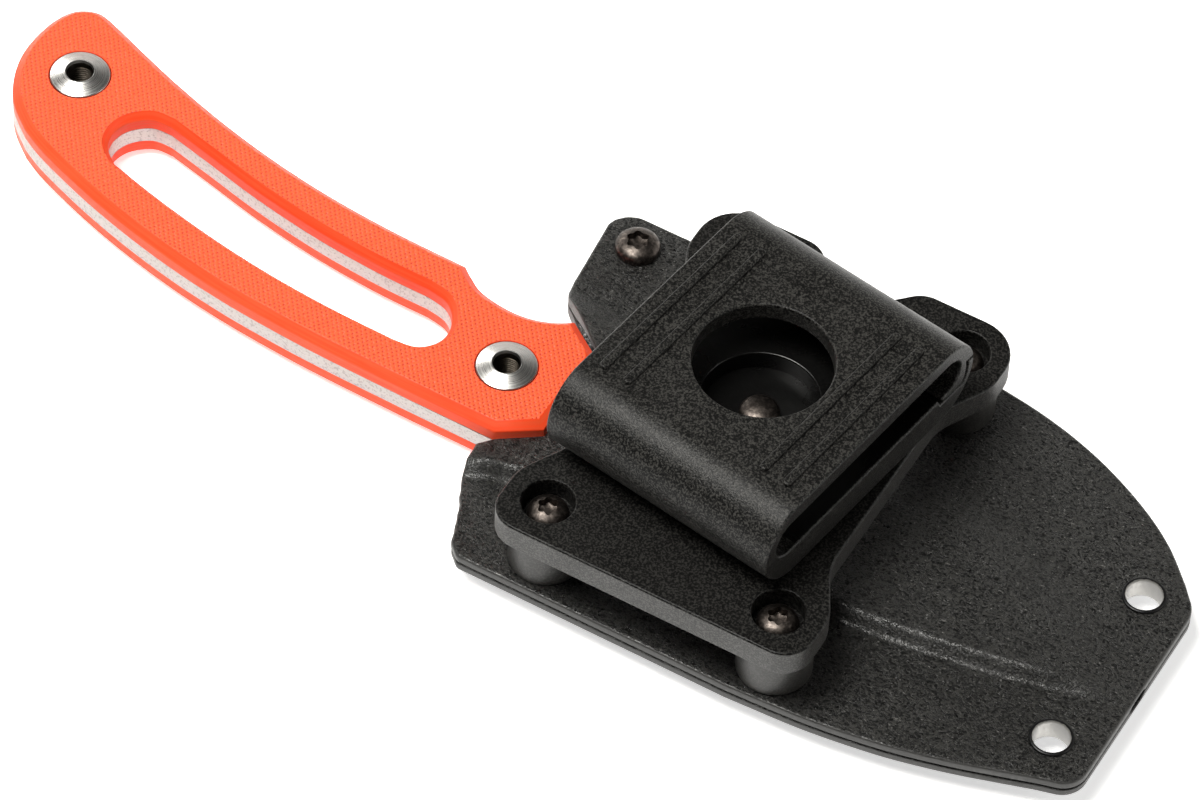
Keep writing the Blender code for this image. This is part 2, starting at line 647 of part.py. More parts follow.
def main():
    clear_scene()
    middle = ((BUTT_X + SHEATH_END_X) / 2, (PLATE_LOW_Y + SHEATH_HIGH_Y) / 2)
    base = empty("part_base", None, (-middle[0], -middle[1], SCALE_TOP))

    knife = empty("knife_slide", base, (0, 0, 0))
    blade(knife)
    scale("front_scale", 1, knife)
    scale("back_scale", -1, knife)
    for name, spot in SLEEVE_SPOTS.items():
        sleeve_nut(f"{name}_sleeve_nut", spot, knife)
        scale_screw(f"{name}_scale_screw", spot, knife)

    shell("sheath_front_shell", 1, base)
    shell("sheath_back_shell", -1, base)
    for name, spot in EYELET_SPOTS.items():
        eyelet(f"{name}_eyelet", spot, base)
    ear_seat = FLANGE_TOP + GAP
    button_screw(
        "retention_screw", EAR_SCREW_SPOT, ear_seat, EAR_HEAD_R, EAR_HEAD_HIGH, SCREW_R, SCREW_END, base
    )
    flange_nut("retention_nut", EAR_SCREW_SPOT, base)
    clip_plate(base)
    plate_fixings(base)
    head_seat = RECESS_FLOOR + GAP
    head_high = SWIVEL_HEAD_TOP - head_seat
    nut_under = PLATE_LOW - GAP - SWIVEL_NUT_HIGH
    button_screw(
        "swivel_screw", PIVOT, head_seat, SWIVEL_HEAD_R, head_high, SWIVEL_SCREW_R, nut_under, base,
        socket=False,
    )
    swivel_nut(base)

    loop = empty("loop_swivel", base, (*PIVOT, 0), LOOP_TURN_DEG)
    loop_base(loop)
    hinge_at = (0, -LOOP_END_V, LOOP_MIDDLE)
    arm_hinge = empty("loop_arm_hinge", loop, hinge_at)
    loop_arm(arm_hinge, hinge_at)


main()
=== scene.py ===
"""Looks of a rigging knife in its sheath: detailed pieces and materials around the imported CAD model.

Shapes are drawn in millimetres from the design point: x runs from the butt to the tip, y towards the cutting
edge, and z = 0 is the middle of the blade. Each finished mesh is then moved into the frame, in metres.
"""

import math

import bmesh
import bpy
from mathutils import Matrix, Vector, noise
from mathutils.geometry import delaunay_2d_cdt


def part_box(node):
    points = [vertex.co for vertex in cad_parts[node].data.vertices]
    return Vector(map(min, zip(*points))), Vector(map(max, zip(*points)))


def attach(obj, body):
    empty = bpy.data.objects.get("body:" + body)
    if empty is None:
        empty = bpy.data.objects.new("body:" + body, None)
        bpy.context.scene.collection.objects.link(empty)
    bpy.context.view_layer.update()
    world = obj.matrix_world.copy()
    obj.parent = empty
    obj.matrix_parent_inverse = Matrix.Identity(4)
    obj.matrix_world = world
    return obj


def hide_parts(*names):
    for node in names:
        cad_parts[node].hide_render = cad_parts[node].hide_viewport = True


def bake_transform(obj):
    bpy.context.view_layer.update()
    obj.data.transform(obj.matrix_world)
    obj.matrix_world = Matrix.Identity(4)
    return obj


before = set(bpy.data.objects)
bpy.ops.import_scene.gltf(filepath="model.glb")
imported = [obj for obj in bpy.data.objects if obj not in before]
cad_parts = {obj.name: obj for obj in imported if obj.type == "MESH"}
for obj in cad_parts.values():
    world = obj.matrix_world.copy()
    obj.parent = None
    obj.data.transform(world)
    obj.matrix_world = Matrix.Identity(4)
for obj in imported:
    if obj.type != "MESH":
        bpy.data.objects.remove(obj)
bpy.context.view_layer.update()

MM = 0.001
TINY = 1e-6
WARM_WHITE = (1.0, 0.985, 0.94)

# Clearance around a shank and between the loop's two walls, and the play between parts that rest together
GAP = 0.3
PLAY = 0.1

# Knife
BUTT_X = -116.0
BLADE_HALF = 1.5
EDGE_HALF = 0.06
SECOND_BEVEL_HALF = 0.42
SECOND_BEVEL_SHARE = 0.08
SCALE_TOP = 4.8
SCALE_UNDER = 1.56
CHAMFER_DOWN = 1.2
CHAMFER_IN = 1.4
SLOT_CHAMFER_SHARE = 0.72
SLEEVE_SPOTS = {"butt": (-104.8, 11.2), "guard": (-14.3, -5.1)}
SLEEVE_RIM_R = 4.95
SLEEVE_R = 3.3
SLEEVE_BORE_R = 2.1
SLEEVE_END = -1.2
SLEEVE_RIM_DEEP = 1.2
SLEEVE_CONE_HIGH = 0.9
HEX_SOCKET_R = 1.75
HEX_SOCKET_DEEP = 2.0
THREAD_PITCH = 0.5

# Sheath
SHEATH_HIGH_Y = 35.2
FLANGE_TOP = 1.75
FLANGE_INSIDE = 0.15
POCKET_TOP = 3.4
SHEET_THICK = 1.6
SHEET_SUNK = 0.05
SHEET_EDGE_R = 0.45
SHEET_GRID = 0.85
SHEET_HOLE_SIDES = 40
STEP_WIDE = 3.0
STEP_BACK = 0.8
EYELET_SPOTS = {"upper": (92.3, 9.2), "lower": (92.6, -22.5)}
EYELET_BORE_R = 2.9
EYELET_R = 3.1
EYELET_RIM_R = 3.55
EYELET_ROLL_R = 0.3
EAR_SCREW_SPOT = (-9.8, 29.0)
EAR_SCREW_HEAD = (3.7, 2.4)
NUT_FLANGE_R = 4.2
NUT_FLANGE_HIGH = 1.15
NUT_BARREL_R = 2.4
SCREW_R = 1.5
SCREW_END = -1.5

# Clip plate
PIVOT = (29.3, -2.6)
PLATE_LOW = 10.5
PLATE_TOP = 15.5
PLATE_SCREW_X = 20.3
PLATE_SCREW_Y = 30.0
PLATE_SCREW_HEAD = (3.3, 2.6)
SPACER_R = 6.0
COUNTERBORE_R = 4.2
COUNTERBORE_FLOOR = 11.9
SWIVEL_SCREW_R = 2.1
SWIVEL_SCREW_END = 7.9
SWIVEL_HEAD_R = 3.2
SWIVEL_HEAD_TOP = 20.5
SWIVEL_NUT_R = 4.0
SWIVEL_NUT_HIGH = 2.4

# Belt loop, in its own frame: u runs through the loop, v across it, and both start at the pivot.
LOOP_TURN_DEG = -8.5
LOOP_HALF_WIDE = 21.4
LOOP_R = 7.9
LOOP_ARC_V = 18.6
LOOP_BOTTOM = 15.8
LOOP_MIDDLE = LOOP_BOTTOM + LOOP_R
LOOP_TOP = LOOP_BOTTOM + 2 * LOOP_R
LOOP_EDGE_R = 0.4
FLOOR_TOP = LOOP_BOTTOM + 5.9
PASSAGE_R = 3.4
PASSAGE_MIDDLE = FLOOR_TOP + PASSAGE_R
NEAR_PASSAGE_V = -20.5
FAR_PASSAGE_V = 19.4
LIP_R = 6.4
LIP_TOP = LOOP_MIDDLE + 1.1
TOE_R = LIP_R - GAP
TOE_FLOOR = LOOP_MIDDLE - 3.5
TOE_TOP_V, TOE_LOW_V = 18.15, 18.85
TOE_ROOM_TOP_V, TOE_ROOM_LOW_V = 17.6, 18.4
LOOP_HOLE_R = 11.1
RECESS_R = 9.5
RECESS_FLOOR = LOOP_BOTTOM + 2.4
RIB_HIGH = 0.6
RIB_WIDE = 1.5
RIB_LONG = 34.8
RIB_EDGE_R = 0.34
RIB_SPOTS = (-18.1, -13.4, 12.9, 17.4)

# Where the design point lies in the frame, in millimetres
SHIFT = Vector((
    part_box("front_scale")[0].x / MM - BUTT_X,
    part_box("sheath_front_shell")[1].y / MM - SHEATH_HIGH_Y,
    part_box("front_scale")[1].z / MM - SCALE_TOP,
))


# Outlines: lists of (x, y) points in millimetres, anticlockwise.


def arc(centre_x, centre_y, radius, start_deg, end_deg, steps):
    points = []
    for step in range(steps + 1):
        angle = math.radians(start_deg + (end_deg - start_deg) * step / steps)
        points.append((centre_x + radius * math.cos(angle), centre_y + radius * math.sin(angle)))
    return points


def circle(spot, radius, sides=64):
    return arc(*spot, radius, 0, 360, sides)[:-1]


def curve(knots, steps=8):
    """A smooth line through the knots, without its last point."""
    ends = [knots[0], *knots, knots[-1]]
    points = []
    for a, b, c, d in zip(ends, ends[1:], ends[2:], ends[3:]):
        for step in range(steps):
            t = step / steps
            points.append(tuple(
                b[i] + 0.5 * t * (c[i] - a[i]) + t * t * (a[i] - 2.5 * b[i] + 2 * c[i] - 0.5 * d[i])
                + 0.5 * t**3 * (3 * b[i] - 3 * c[i] + d[i] - a[i])
                for i in (0, 1)
            ))
    return points


def unit(x, y):
    length = math.hypot(x, y)
    return x / length, y / length


def rounded(corners, steps=8):
    """A polygon from (x, y, radius) corners, each turned by an arc of that radius."""
    points = []
    count = len(corners)
    for index, (x, y, radius) in enumerate(corners):
        if radius == 0:
            points.append((x, y))
            continue
        before = corners[index - 1]
        after = corners[(index + 1) % count]
        in_x, in_y = unit(x - before[0], y - before[1])
        out_x, out_y = unit(after[0] - x, after[1] - y)
        turn = math.atan2(in_x * out_y - in_y * out_x, in_x * out_x + in_y * out_y)
        reach = radius * math.tan(abs(turn) / 2)
        side = math.copysign(1, turn)
        centre_x = x - in_x * reach - side * in_y * radius
        centre_y = y - in_y * reach + side * in_x * radius
        start = math.degrees(math.atan2(-side * in_x, side * in_y))
        points += arc(centre_x, centre_y, radius, start, start + math.degrees(turn), steps)
    return points


def moved_out(outline, distance):
    """The outline with each point moved outwards, or inwards for a negative distance."""
    points = []
    for index, (x, y) in enumerate(outline):
        before = outline[index - 1]
        after = outline[(index + 1) % len(outline)]
        a_x, a_y = unit(x - before[0], y - before[1])
        b_x, b_y = unit(after[0] - x, after[1] - y)
        along_x, along_y = unit(a_x + b_x, a_y + b_y)
        stretch = 1 / max(0.5, along_x * b_x + along_y * b_y)
        points.append((x + along_y * distance * stretch, y - along_x * distance * stretch))
    return points


def drawn_in(outline, distance):
    """The outline moved inwards. Points that would cross over at a corner are spread along their gap."""
    moved = moved_out(outline, -distance)
    if distance == 0:
        return moved
    kept = [away_from(outline, point) > 0.96 * distance for point in moved]
    count = len(moved)
    start = kept.index(True)
    index = 0
    while index < count:
        here = (start + index) % count
        run = 1
        while not kept[(here + run) % count]:
            run += 1
        first, last = moved[here], moved[(here + run) % count]
        for part in range(1, run):
            share = part / run
            moved[(here + part) % count] = tuple(a + (b - a) * share for a, b in zip(first, last))
        index += run
    return moved


def away_from(outline, point):
    """Distance from a point to the nearest edge of the outline."""
    nearest = math.inf
    x, y = point
    for index, (b_x, b_y) in enumerate(outline):
        a_x, a_y = outline[index - 1]
        along_x, along_y = b_x - a_x, b_y - a_y
        share = ((x - a_x) * along_x + (y - a_y) * along_y) / (along_x**2 + along_y**2)
        share = min(1.0, max(0.0, share))
        nearest = min(nearest, math.hypot(x - a_x - share * along_x, y - a_y - share * along_y))
    return nearest


def divided(outline, spacing):
    """The closed outline with points added, so that no edge is longer than the spacing."""
    points = []
    for index, (x, y) in enumerate(outline):
        next_x, next_y = outline[(index + 1) % len(outline)]
        parts = max(1, math.ceil(math.hypot(next_x - x, next_y - y) / spacing))
        for part in range(parts):
            points.append((x + (next_x - x) * part / parts, y + (next_y - y) * part / parts))
    return points


def ease(value):
    value = min(1.0, max(0.0, value))
    return value * value * (3 - 2 * value)


# Solids, in millimetres


def solid(rings):
    """An object through closed rings of (x, y, z) points, with as many points in each, and two end caps."""
    data = bmesh.new()
    layers = [[data.verts.new(point) for point in ring] for ring in rings]
    for low, high in zip(layers, layers[1:]):
        for index in range(len(low)):
            data.faces.new((low[index - 1], low[index], high[index], high[index - 1]))
    data.faces.new(layers[0][::-1])
    data.faces.new(layers[-1])
    return from_bmesh(data)


def from_bmesh(data):
    bmesh.ops.recalc_face_normals(data, faces=data.faces)
    mesh = bpy.data.meshes.new("shape")
    data.to_mesh(mesh)
    data.free()
    made = bpy.data.objects.new("shape", mesh)
    bpy.context.scene.collection.objects.link(made)
    return made


def stack(layers):
    """A solid through (outline, z) layers."""
    return solid([[(x, y, z) for x, y in outline] for outline, z in layers])


def rod(spot, radius, low, high, sides=64):
    return stack([(circle(spot, radius, sides), z) for z in (low, high)])


def rim(radius, steps=4, last_deg=90):
    """(inset, drop) of a rounded edge, from the side wall up to the flat, or short of it."""
    angles = [math.radians(last_deg) * step / steps for step in range(steps + 1)]
    return [(radius * (1 - math.cos(angle)), radius * (1 - math.sin(angle))) for angle in angles]


def slab(outline, low, high, low_r, high_r):
    """A plate with rounded edges at its two faces."""
    layers = [(drawn_in(outline, inset), low + drop) for inset, drop in rim(low_r)[::-1]]
    layers += [(drawn_in(outline, inset), high - drop) for inset, drop in rim(high_r)]
    return stack(layers)


def cutter(outline, low, face, radius, side=1):
    """A cutter from low up to a face and past it, with a rounded mouth. With side -1 the face looks down."""
    wider, past = 0.01, 3
    mouth = rim(radius, last_deg=75)
    layers = [(outline, low), *[(moved_out(outline, outset), face - side * drop) for outset, drop in mouth]]
    return stack([*layers, (moved_out(outline, mouth[-1][0] + wider), face + side * past)])


def turned(profile, spot=(0, 0), sides=64):
    """A solid of revolution about Z through spot, from (radius, z) points. Radius 0 is on the axis."""
    data = bmesh.new()
    rings = []
    for radius, z in profile:
        if radius < TINY:
            rings.append([data.verts.new((*spot, z))] * sides)
        else:
            rings.append([data.verts.new((x, y, z)) for x, y in circle(spot, radius, sides)])
    closed = [*rings, rings[0]] if profile[0][0] and profile[-1][0] else rings
    for first, second in zip(closed, closed[1:]):
        for index in range(sides):
            corners = [first[index - 1], first[index], second[index], second[index - 1]]
            data.faces.new(list(dict.fromkeys(corners)))
    return from_bmesh(data)


def combine(thing, tools, operation="DIFFERENCE"):
    """Cuts each tool from the object, or joins it, and removes the tools."""
    for tool in tools:
        step = thing.modifiers.new("step", "BOOLEAN")
        step.operation = operation
        step.object = tool
        step.solver = "EXACT"
    graph = bpy.context.evaluated_depsgraph_get()
    mesh = bpy.data.meshes.new_from_object(thing.evaluated_get(graph))
    thing.modifiers.clear()
    thing.data = mesh
    for tool in tools:
        bpy.data.objects.remove(tool)


def finish_piece(thing, node, body, finishes, chooser=None, sharp_deg=40):
    """Places a shape in the frame as a CAD node's piece. Faces the chooser picks take the second finish."""
    mesh = thing.data
    mesh.transform(Matrix.Scale(MM, 4) @ Matrix.Translation(SHIFT))
    mesh.name = thing.name = f"fine_{node}"
    mesh.materials.clear()
    for finish in finishes:
        mesh.materials.append(finish.material)
    for face in mesh.polygons:
        face.material_index = int(chooser(face)) if chooser else 0
    mesh.shade_smooth()
    mesh.set_sharp_from_angle(angle=math.radians(sharp_deg))
    flats = thing.modifiers.new("flats", "WEIGHTED_NORMAL")
    flats.keep_sharp = True
    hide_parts(node)
    if body:
        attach(thing, body)


def centre_of(face):
    """The middle of a placed face, in millimetres from the design point."""
    return [value / MM - shift for value, shift in zip(face.center, SHIFT)]


def off_axis(face, spot):
    """How far a placed face's middle is from the vertical line through a spot."""
    x, y, _ = centre_of(face)
    return math.hypot(x - spot[0], y - spot[1])


# Materials


class Finish:
    """A node material, with short calls for the nodes that it uses. Its place output is in millimetres."""

    def __init__(self, name, **settings):
        self.material = bpy.data.materials.new(name)
        self.material.use_nodes = True
        self.tree = self.material.node_tree
        self.shader = self.tree.nodes["Principled BSDF"]
        for socket, value in settings.items():
            self.set(socket.replace("_", " "), value)
        place = self.add("TexCoord").outputs["Object"]
        self.place = self.vector("MULTIPLY", place, (1 / MM,) * 3)

    def add(self, kind, inputs=(), **settings):
        made = self.tree.nodes.new("ShaderNode" + kind)
        for name, value in settings.items():
            setattr(made, name, value)
        for socket, value in dict(inputs).items():
            self.fill(made.inputs[socket], value)
        return made

    def fill(self, socket, value):
        if isinstance(value, bpy.types.NodeSocket):
            self.tree.links.new(value, socket)
        else:
            socket.default_value = value

    def set(self, socket, value):
        self.fill(self.shader.inputs[socket], value)

    def vector(self, operation, first, second):
        return self.add("VectorMath", {0: first, 1: second}, operation=operation).outputs[0]

    def math(self, operation, *values):
        return self.add("Math", dict(enumerate(values)), operation=operation).outputs[0]

    def noise(self, per_mm, detail=2.0, roughness=0.5, distortion=0.0, stretch=(1, 1, 1)):
        inputs = {
            "Vector": self.vector("MULTIPLY", self.place, stretch), "Scale": per_mm, "Detail": detail,
            "Roughness": roughness, "Distortion": distortion,
        }
        return self.add("TexNoise", inputs).outputs["Fac"]

    def axes(self):
        return self.add("SeparateXYZ", {0: self.place}).outputs

    def off_nearest(self, spots):
        """Distance in millimetres from the nearest of the vertical lines through the spots."""
        parts = self.axes()
        nearest = None
        for spot in spots:
            offs = [self.math("SUBTRACT", parts[i], spot[i] + SHIFT[i]) for i in (0, 1)]
            squares = [self.math("MULTIPLY", off, off) for off in offs]
            reach = self.math("SQRT", self.math("ADD", *squares))
            nearest = reach if nearest is None else self.math("MINIMUM", nearest, reach)
        return nearest

    def spread(self, value, low, high, to_low=0.0, to_high=1.0):
        inputs = {0: value, 1: low, 2: high, 3: to_low, 4: to_high}
        return self.add("MapRange", inputs, interpolation_type="SMOOTHSTEP").outputs[0]

    def mix(self, factor, first, second):
        """Blends two colours. Each is a socket or (red, green, blue)."""
        made = self.add("Mix", {"Factor": factor}, data_type="RGBA")
        for name, value in (("A", first), ("B", second)):
            socket = next(s for s in made.inputs if s.name == name and s.type == "RGBA")
            self.fill(socket, value if isinstance(value, bpy.types.NodeSocket) else (*value, 1.0))
        return next(s for s in made.outputs if s.type == "RGBA")

    def colour(self, factor, first, second):
        self.set("Base Color", self.mix(factor, first, second))

    def rough(self, value, low, high):
        self.set("Roughness", self.spread(value, 0.3, 0.7, low, high))

    def bumps(self, *heights):
        """Lays (height, its size in mm) bumps over each other, the first one lowest."""
        normal = {}
        for height, distance in heights:
            made = self.add("Bump", {"Height": height, "Distance": distance * MM, **normal})
            normal = {"Normal": made.outputs["Normal"]}
        self.set("Normal", normal["Normal"])


def dot_lattice(made, pitch_x, pitch_y):
    """Staggered rows of dots over x and y: 1 at a dot's middle, 0 halfway between dots."""
    parts = made.axes()
    wave_x = made.math("SINE", made.math("MULTIPLY", parts[0], 2 * math.pi / pitch_x))
    wave_y = made.math("SINE", made.math("MULTIPLY", parts[1], math.pi / pitch_y))
    return made.math("MAXIMUM", made.math("MULTIPLY", wave_x, wave_y), 0.0)


def laminate_face():
    """The slab's flat face: orange glass laminate with the print of its peel ply."""
    made = Finish("laminate_face", Specular_IOR_Level=0.45)
    dots = dot_lattice(made, 0.92, 0.6)
    depth = made.math("MULTIPLY", dots, made.spread(made.noise(1.6, 3), 0.3, 0.6, 0.55, 1.0))
    tone = made.mix(made.noise(0.08), (0.95, 0.112, 0.030), (0.92, 0.098, 0.024))
    made.colour(made.spread(depth, 0.2, 0.75), tone, (0.70, 0.048, 0.012))
    made.rough(made.noise(3.0), 0.42, 0.58)
    made.bumps((made.noise(5.5), 0.018), (made.math("SUBTRACT", 1.0, depth), 0.14))
    return made


def laminate_cut():
    """Machined edges of the slab, where the glass layers show as faint lines."""
    made = Finish("laminate_cut", Specular_IOR_Level=0.22)
    layers = made.noise(3.2, stretch=(0.02, 0.02, 1.0))
    made.colour(made.spread(layers, 0.35, 0.65), (0.94, 0.070, 0.018), (0.88, 0.090, 0.028))
    made.rough(made.noise(1.2), 0.36, 0.48)
    made.bumps((made.noise(4.0, 3, 0.6, stretch=(0.5, 0.5, 1.5)), 0.012))
    return made


def satin_steel():
    """Ground steel with fine scratches along the blade and small pits."""
    made = Finish("satin_steel", Metallic=1.0)
    grind = made.noise(7.0, 3, 0.6, stretch=(0.06, 1.0, 1.0))
    pits = made.spread(made.noise(2.2), 0.52, 0.66)
    ground = made.mix(grind, (0.47, 0.46, 0.45), (0.39, 0.38, 0.37))
    made.colour(pits, ground, (0.31, 0.30, 0.29))
    made.rough(grind, 0.36, 0.5)
    made.bumps((grind, 0.02))
    return made


def turned_steel():
    """Bright turned steel, with the lathe's fine rings about each fastener's middle."""
    made = Finish("turned_steel", Metallic=1.0)
    reach = made.off_nearest(SLEEVE_SPOTS.values())
    rings = made.add("TexNoise", {"W": reach, "Scale": 9.0, "Detail": 2.0}, noise_dimensions="1D")
    stains = made.spread(made.noise(0.8, 3), 0.45, 0.75)
    made.colour(stains, (0.58, 0.57, 0.555), (0.48, 0.47, 0.455))
    made.rough(rings.outputs["Fac"], 0.24, 0.36)
    made.bumps((rings.outputs["Fac"], 0.004))
    return made


def sheath_sheet():
    """Black thermoformed sheet: a pebbled grain with crowns painted lighter and dents darker as painted
    highlight and shade, pale specks, and calmer patches.
    """
    made = Finish("sheath_sheet")
    pebbles = made.spread(made.noise(2.5, 2, 0.55, 0.8, (0.8, 1.3, 1.0)), 0.42, 0.60)
    fine = made.noise(4.5)
    specks = made.spread(made.noise(1.9, 1, stretch=(0.8, 1.5, 1.0)), 0.70, 0.78)
    patches = made.spread(made.noise(0.22, 3), 0.35, 0.65, 0.6, 1.0)
    grain = made.math("ADD", made.math("MULTIPLY", pebbles, 0.7), made.math("MULTIPLY", fine, 0.3))
    # Painted highlight and shade: the grain's crowns are coloured lighter and its dents darker.
    painted_grain_shading = made.mix(made.spread(grain, 0.4, 0.75), (0.0004, 0.0004, 0.0003), (0.031, 0.0303, 0.028))
    made.colour(specks, painted_grain_shading, (0.13, 0.127, 0.12))
    made.rough(made.noise(1.1, 3), 0.27, 0.36)
    made.bumps((made.math("MULTIPLY", grain, patches), 0.15))
    return made


def sheet_edge():
    """The cut edge of the sheet: smoother, with faint sanding marks along it."""
    made = Finish("sheet_edge")
    marks = made.noise(3.0, 3, 0.6, stretch=(0.5, 0.5, 2.0))
    made.colour(marks, (0.010, 0.0098, 0.0092), (0.045, 0.044, 0.042))
    made.rough(marks, 0.34, 0.52)
    made.bumps((marks, 0.03))
    return made


def spark_plastic(name, dark, light, smooth, rough, per_mm, height_mm, gloss=0.5):
    """Black plastic with an even fine texture, as from a spark-eroded mould."""
    made = Finish(name, Specular_IOR_Level=gloss)
    texture = made.noise(per_mm, 3, 0.65)
    cloud = made.noise(0.12)
    # Painted shade and highlight: the texture's dents are coloured darker and its crowns lighter.
    shaded_valley, lit_crown = ((grey, grey * 0.97, grey * 0.9) for grey in (dark, light))
    made.colour(made.spread(texture, 0.46, 0.6), shaded_valley, lit_crown)
    made.rough(cloud, smooth, rough)
    made.bumps((texture, height_mm))
    return made


def eyelet_black():
    """Black oxide, with the bore's wall painted a bright metal grey as painted light."""
    made = Finish("eyelet_black", Metallic=0.9)
    reach = made.off_nearest(EYELET_SPOTS.values())
    wobble = made.math("MULTIPLY", made.noise(1.5, 3), 0.25)
    # Painted light: the wall inside the bore is coloured light grey.
    lit_bore = made.spread(made.math("ADD", reach, wobble), EYELET_BORE_R + 0.2, EYELET_BORE_R + 0.3, 1.0, 0.0)
    made.colour(lit_bore, (0.03, 0.03, 0.031), (0.5, 0.49, 0.47))
    made.rough(made.noise(2.0), 0.28, 0.42)
    made.bumps((made.noise(3.0), 0.006))
    return made


def dark_steel():
    """Black-oxide steel rubbed to a warm grey."""
    made = Finish("dark_steel", Metallic=1.0)
    wear = made.spread(made.noise(1.4, 4, 0.6), 0.4, 0.68)
    made.colour(wear, (0.060, 0.051, 0.046), (0.15, 0.128, 0.114))
    made.rough(made.noise(3.0, 3), 0.36, 0.46)
    made.bumps((made.noise(5.0), 0.008))
    return made


def bore_shade_steel():
    """The thread inside the handle's fasteners, painted dark as painted shade."""
    made = Finish("bore_shade_steel", Metallic=1.0)
    # Painted shade: the bore is coloured nearly black.
    made.colour(made.noise(1.8, 3), (0.012, 0.010, 0.008), (0.085, 0.072, 0.058))
    made.rough(made.noise(3.0), 0.3, 0.45)
    made.bumps((made.noise(4.0), 0.01))
    return made


def floor_paper():
    """Nearly white paper that glows a little, so that it stays white around the soft shadows."""
    made = Finish("floor_paper", Roughness=0.9, Specular_IOR_Level=0.1)
    made.colour(made.noise(0.02), (0.93, 0.93, 0.93), (0.95, 0.95, 0.95))
    made.bumps((made.noise(1.0), 0.01))
    made.set("Emission Color", (1, 1, 1, 1))
    made.set("Emission Strength", 0.6)
    return made


# Knife

SPINE_OF_HANDLE = [
    (-106.5, -2.75), (-101.5, -5.2), (-91.5, -8.75), (-81.5, -11.55), (-71.5, -13.7), (-61.5, -15.2),
    (-51.5, -16.1), (-41.5, -16.6), (-25, -16.9),
]
FINGER_SIDE = [(-30.7, 9.85), (-45.7, 10.2), (-60.7, 11.6), (-75.7, 14.4), (-90.7, 18.6), (-105.7, 23.95)]
FINGER_NOTCH = [
    (-10, 9.05), (-13, 7.2), (-16.5, 6.0), (-20.7, 5.75), (-25.7, 6.6), (-28.8, 8.4), (-30.7, 9.85),
]
BUTT_END = [
    (-105.7, 23.95), (-109.9, 25.0), (-113.5, 23.3), (-115.4, 19.4), (BUTT_X, 14.3), (-115.6, 9.9),
    (-114, 5.4), (-111.2, 1.1), (-106.5, -2.75),
]


def handle_outline(front):
    """The grip, closed at its front by the points given, which run from the spine to the notch."""
    return [
        *curve(SPINE_OF_HANDLE), SPINE_OF_HANDLE[-1], *front,
        *curve(FINGER_NOTCH, 6), *curve(FINGER_SIDE), *curve(BUTT_END, 6),
    ]


def slot_outline():
    far_side = [(-33.5, 2.75), (-43.5, 2.9), (-55.5, 3.95), (-67.5, 5.9), (-78.5, 8.4), (-86.5, 10.2)]
    left_end = [(-86.5, 10.2), (-90, 9.9), (-92.9, 7.4), (-93.9, 4.2), (-93, 1.1), (-90.2, -1.3)]
    near_side = [(-90.2, -1.3), (-80.7, -3.75), (-68.7, -6.2), (-56.7, -7.9), (-44.7, -8.8), (-32.7, -9.05)]
    right_end = [
        (-32.7, -9.05), (-29, -8.5), (-26.7, -6.3), (-26.1, -3.4), (-27.3, -0.2), (-29.8, 2.0), (-33.5, 2.75),
    ]
    return [*curve(far_side), *curve(left_end, 6), *curve(near_side), *curve(right_end, 6)]


def blade_outlines():
    """The outline at the cutting edge, and the one at full thickness, where the ground bevel starts."""
    spine = [(-25, -16.9), (10, -17.2), (40, -17.4), (58, -16.9), (74, -14.7), (86, -12.2), (94.5, -9.5)]
    edge = [(94.5, -9.5), (91, -4.6), (84, 1.4), (72, 8.2), (58, 12), (40, 13.2), (20, 12.2), (4, 9.5)]
    grind = [(92.5, -10), (88, -8.6), (81, -5.5), (70, -1.8), (57, 0.4), (40, 1), (20, 1), (6, 1)]
    choil = [(2.6, 8.6), (1.2, 6.0), (-4.6, 5.35)]
    return [handle_outline([*curve(spine)[1:], *curve(side), side[-1], *choil]) for side in (edge, grind)]


def blade(finish):
    """The blade and tang: a flat grind down to a narrow second bevel at the edge."""
    at_edge, at_grind = blade_outlines()
    share = SECOND_BEVEL_SHARE
    second = [(a + (c - a) * share, b + (d - b) * share) for (a, b), (c, d) in zip(at_edge, at_grind)]
    layers = [(at_grind, BLADE_HALF), (second, SECOND_BEVEL_HALF), (at_edge, EDGE_HALF)]
    thing = stack([*[(outline, -z) for outline, z in layers], *layers[::-1]])
    tools = [stack([(slot_outline(), -3), (slot_outline(), 3)])]
    tools += [rod(spot, SLEEVE_R + GAP, -3, 3) for spot in SLEEVE_SPOTS.values()]
    combine(thing, tools)
    finish_piece(thing, "blade", "knife", [finish], sharp_deg=6)


def soft_chamfer(top, soft=0.22):
    """(inset, z) of a slab's edge: up the wall, then a chamfer whose two corners are eased."""
    slope = math.hypot(CHAMFER_DOWN, CHAMFER_IN)
    step_in, step_down = soft * CHAMFER_IN / slope, soft * CHAMFER_DOWN / slope
    low = top - CHAMFER_DOWN
    return [
        (0, low - soft), (step_in * 0.18, low - soft * 0.3), (step_in, low + step_down),
        (CHAMFER_IN - step_in, top - step_down), (CHAMFER_IN - step_in * 0.25, top - step_down * 0.18),
        (CHAMFER_IN + soft * 0.6, top),
    ]


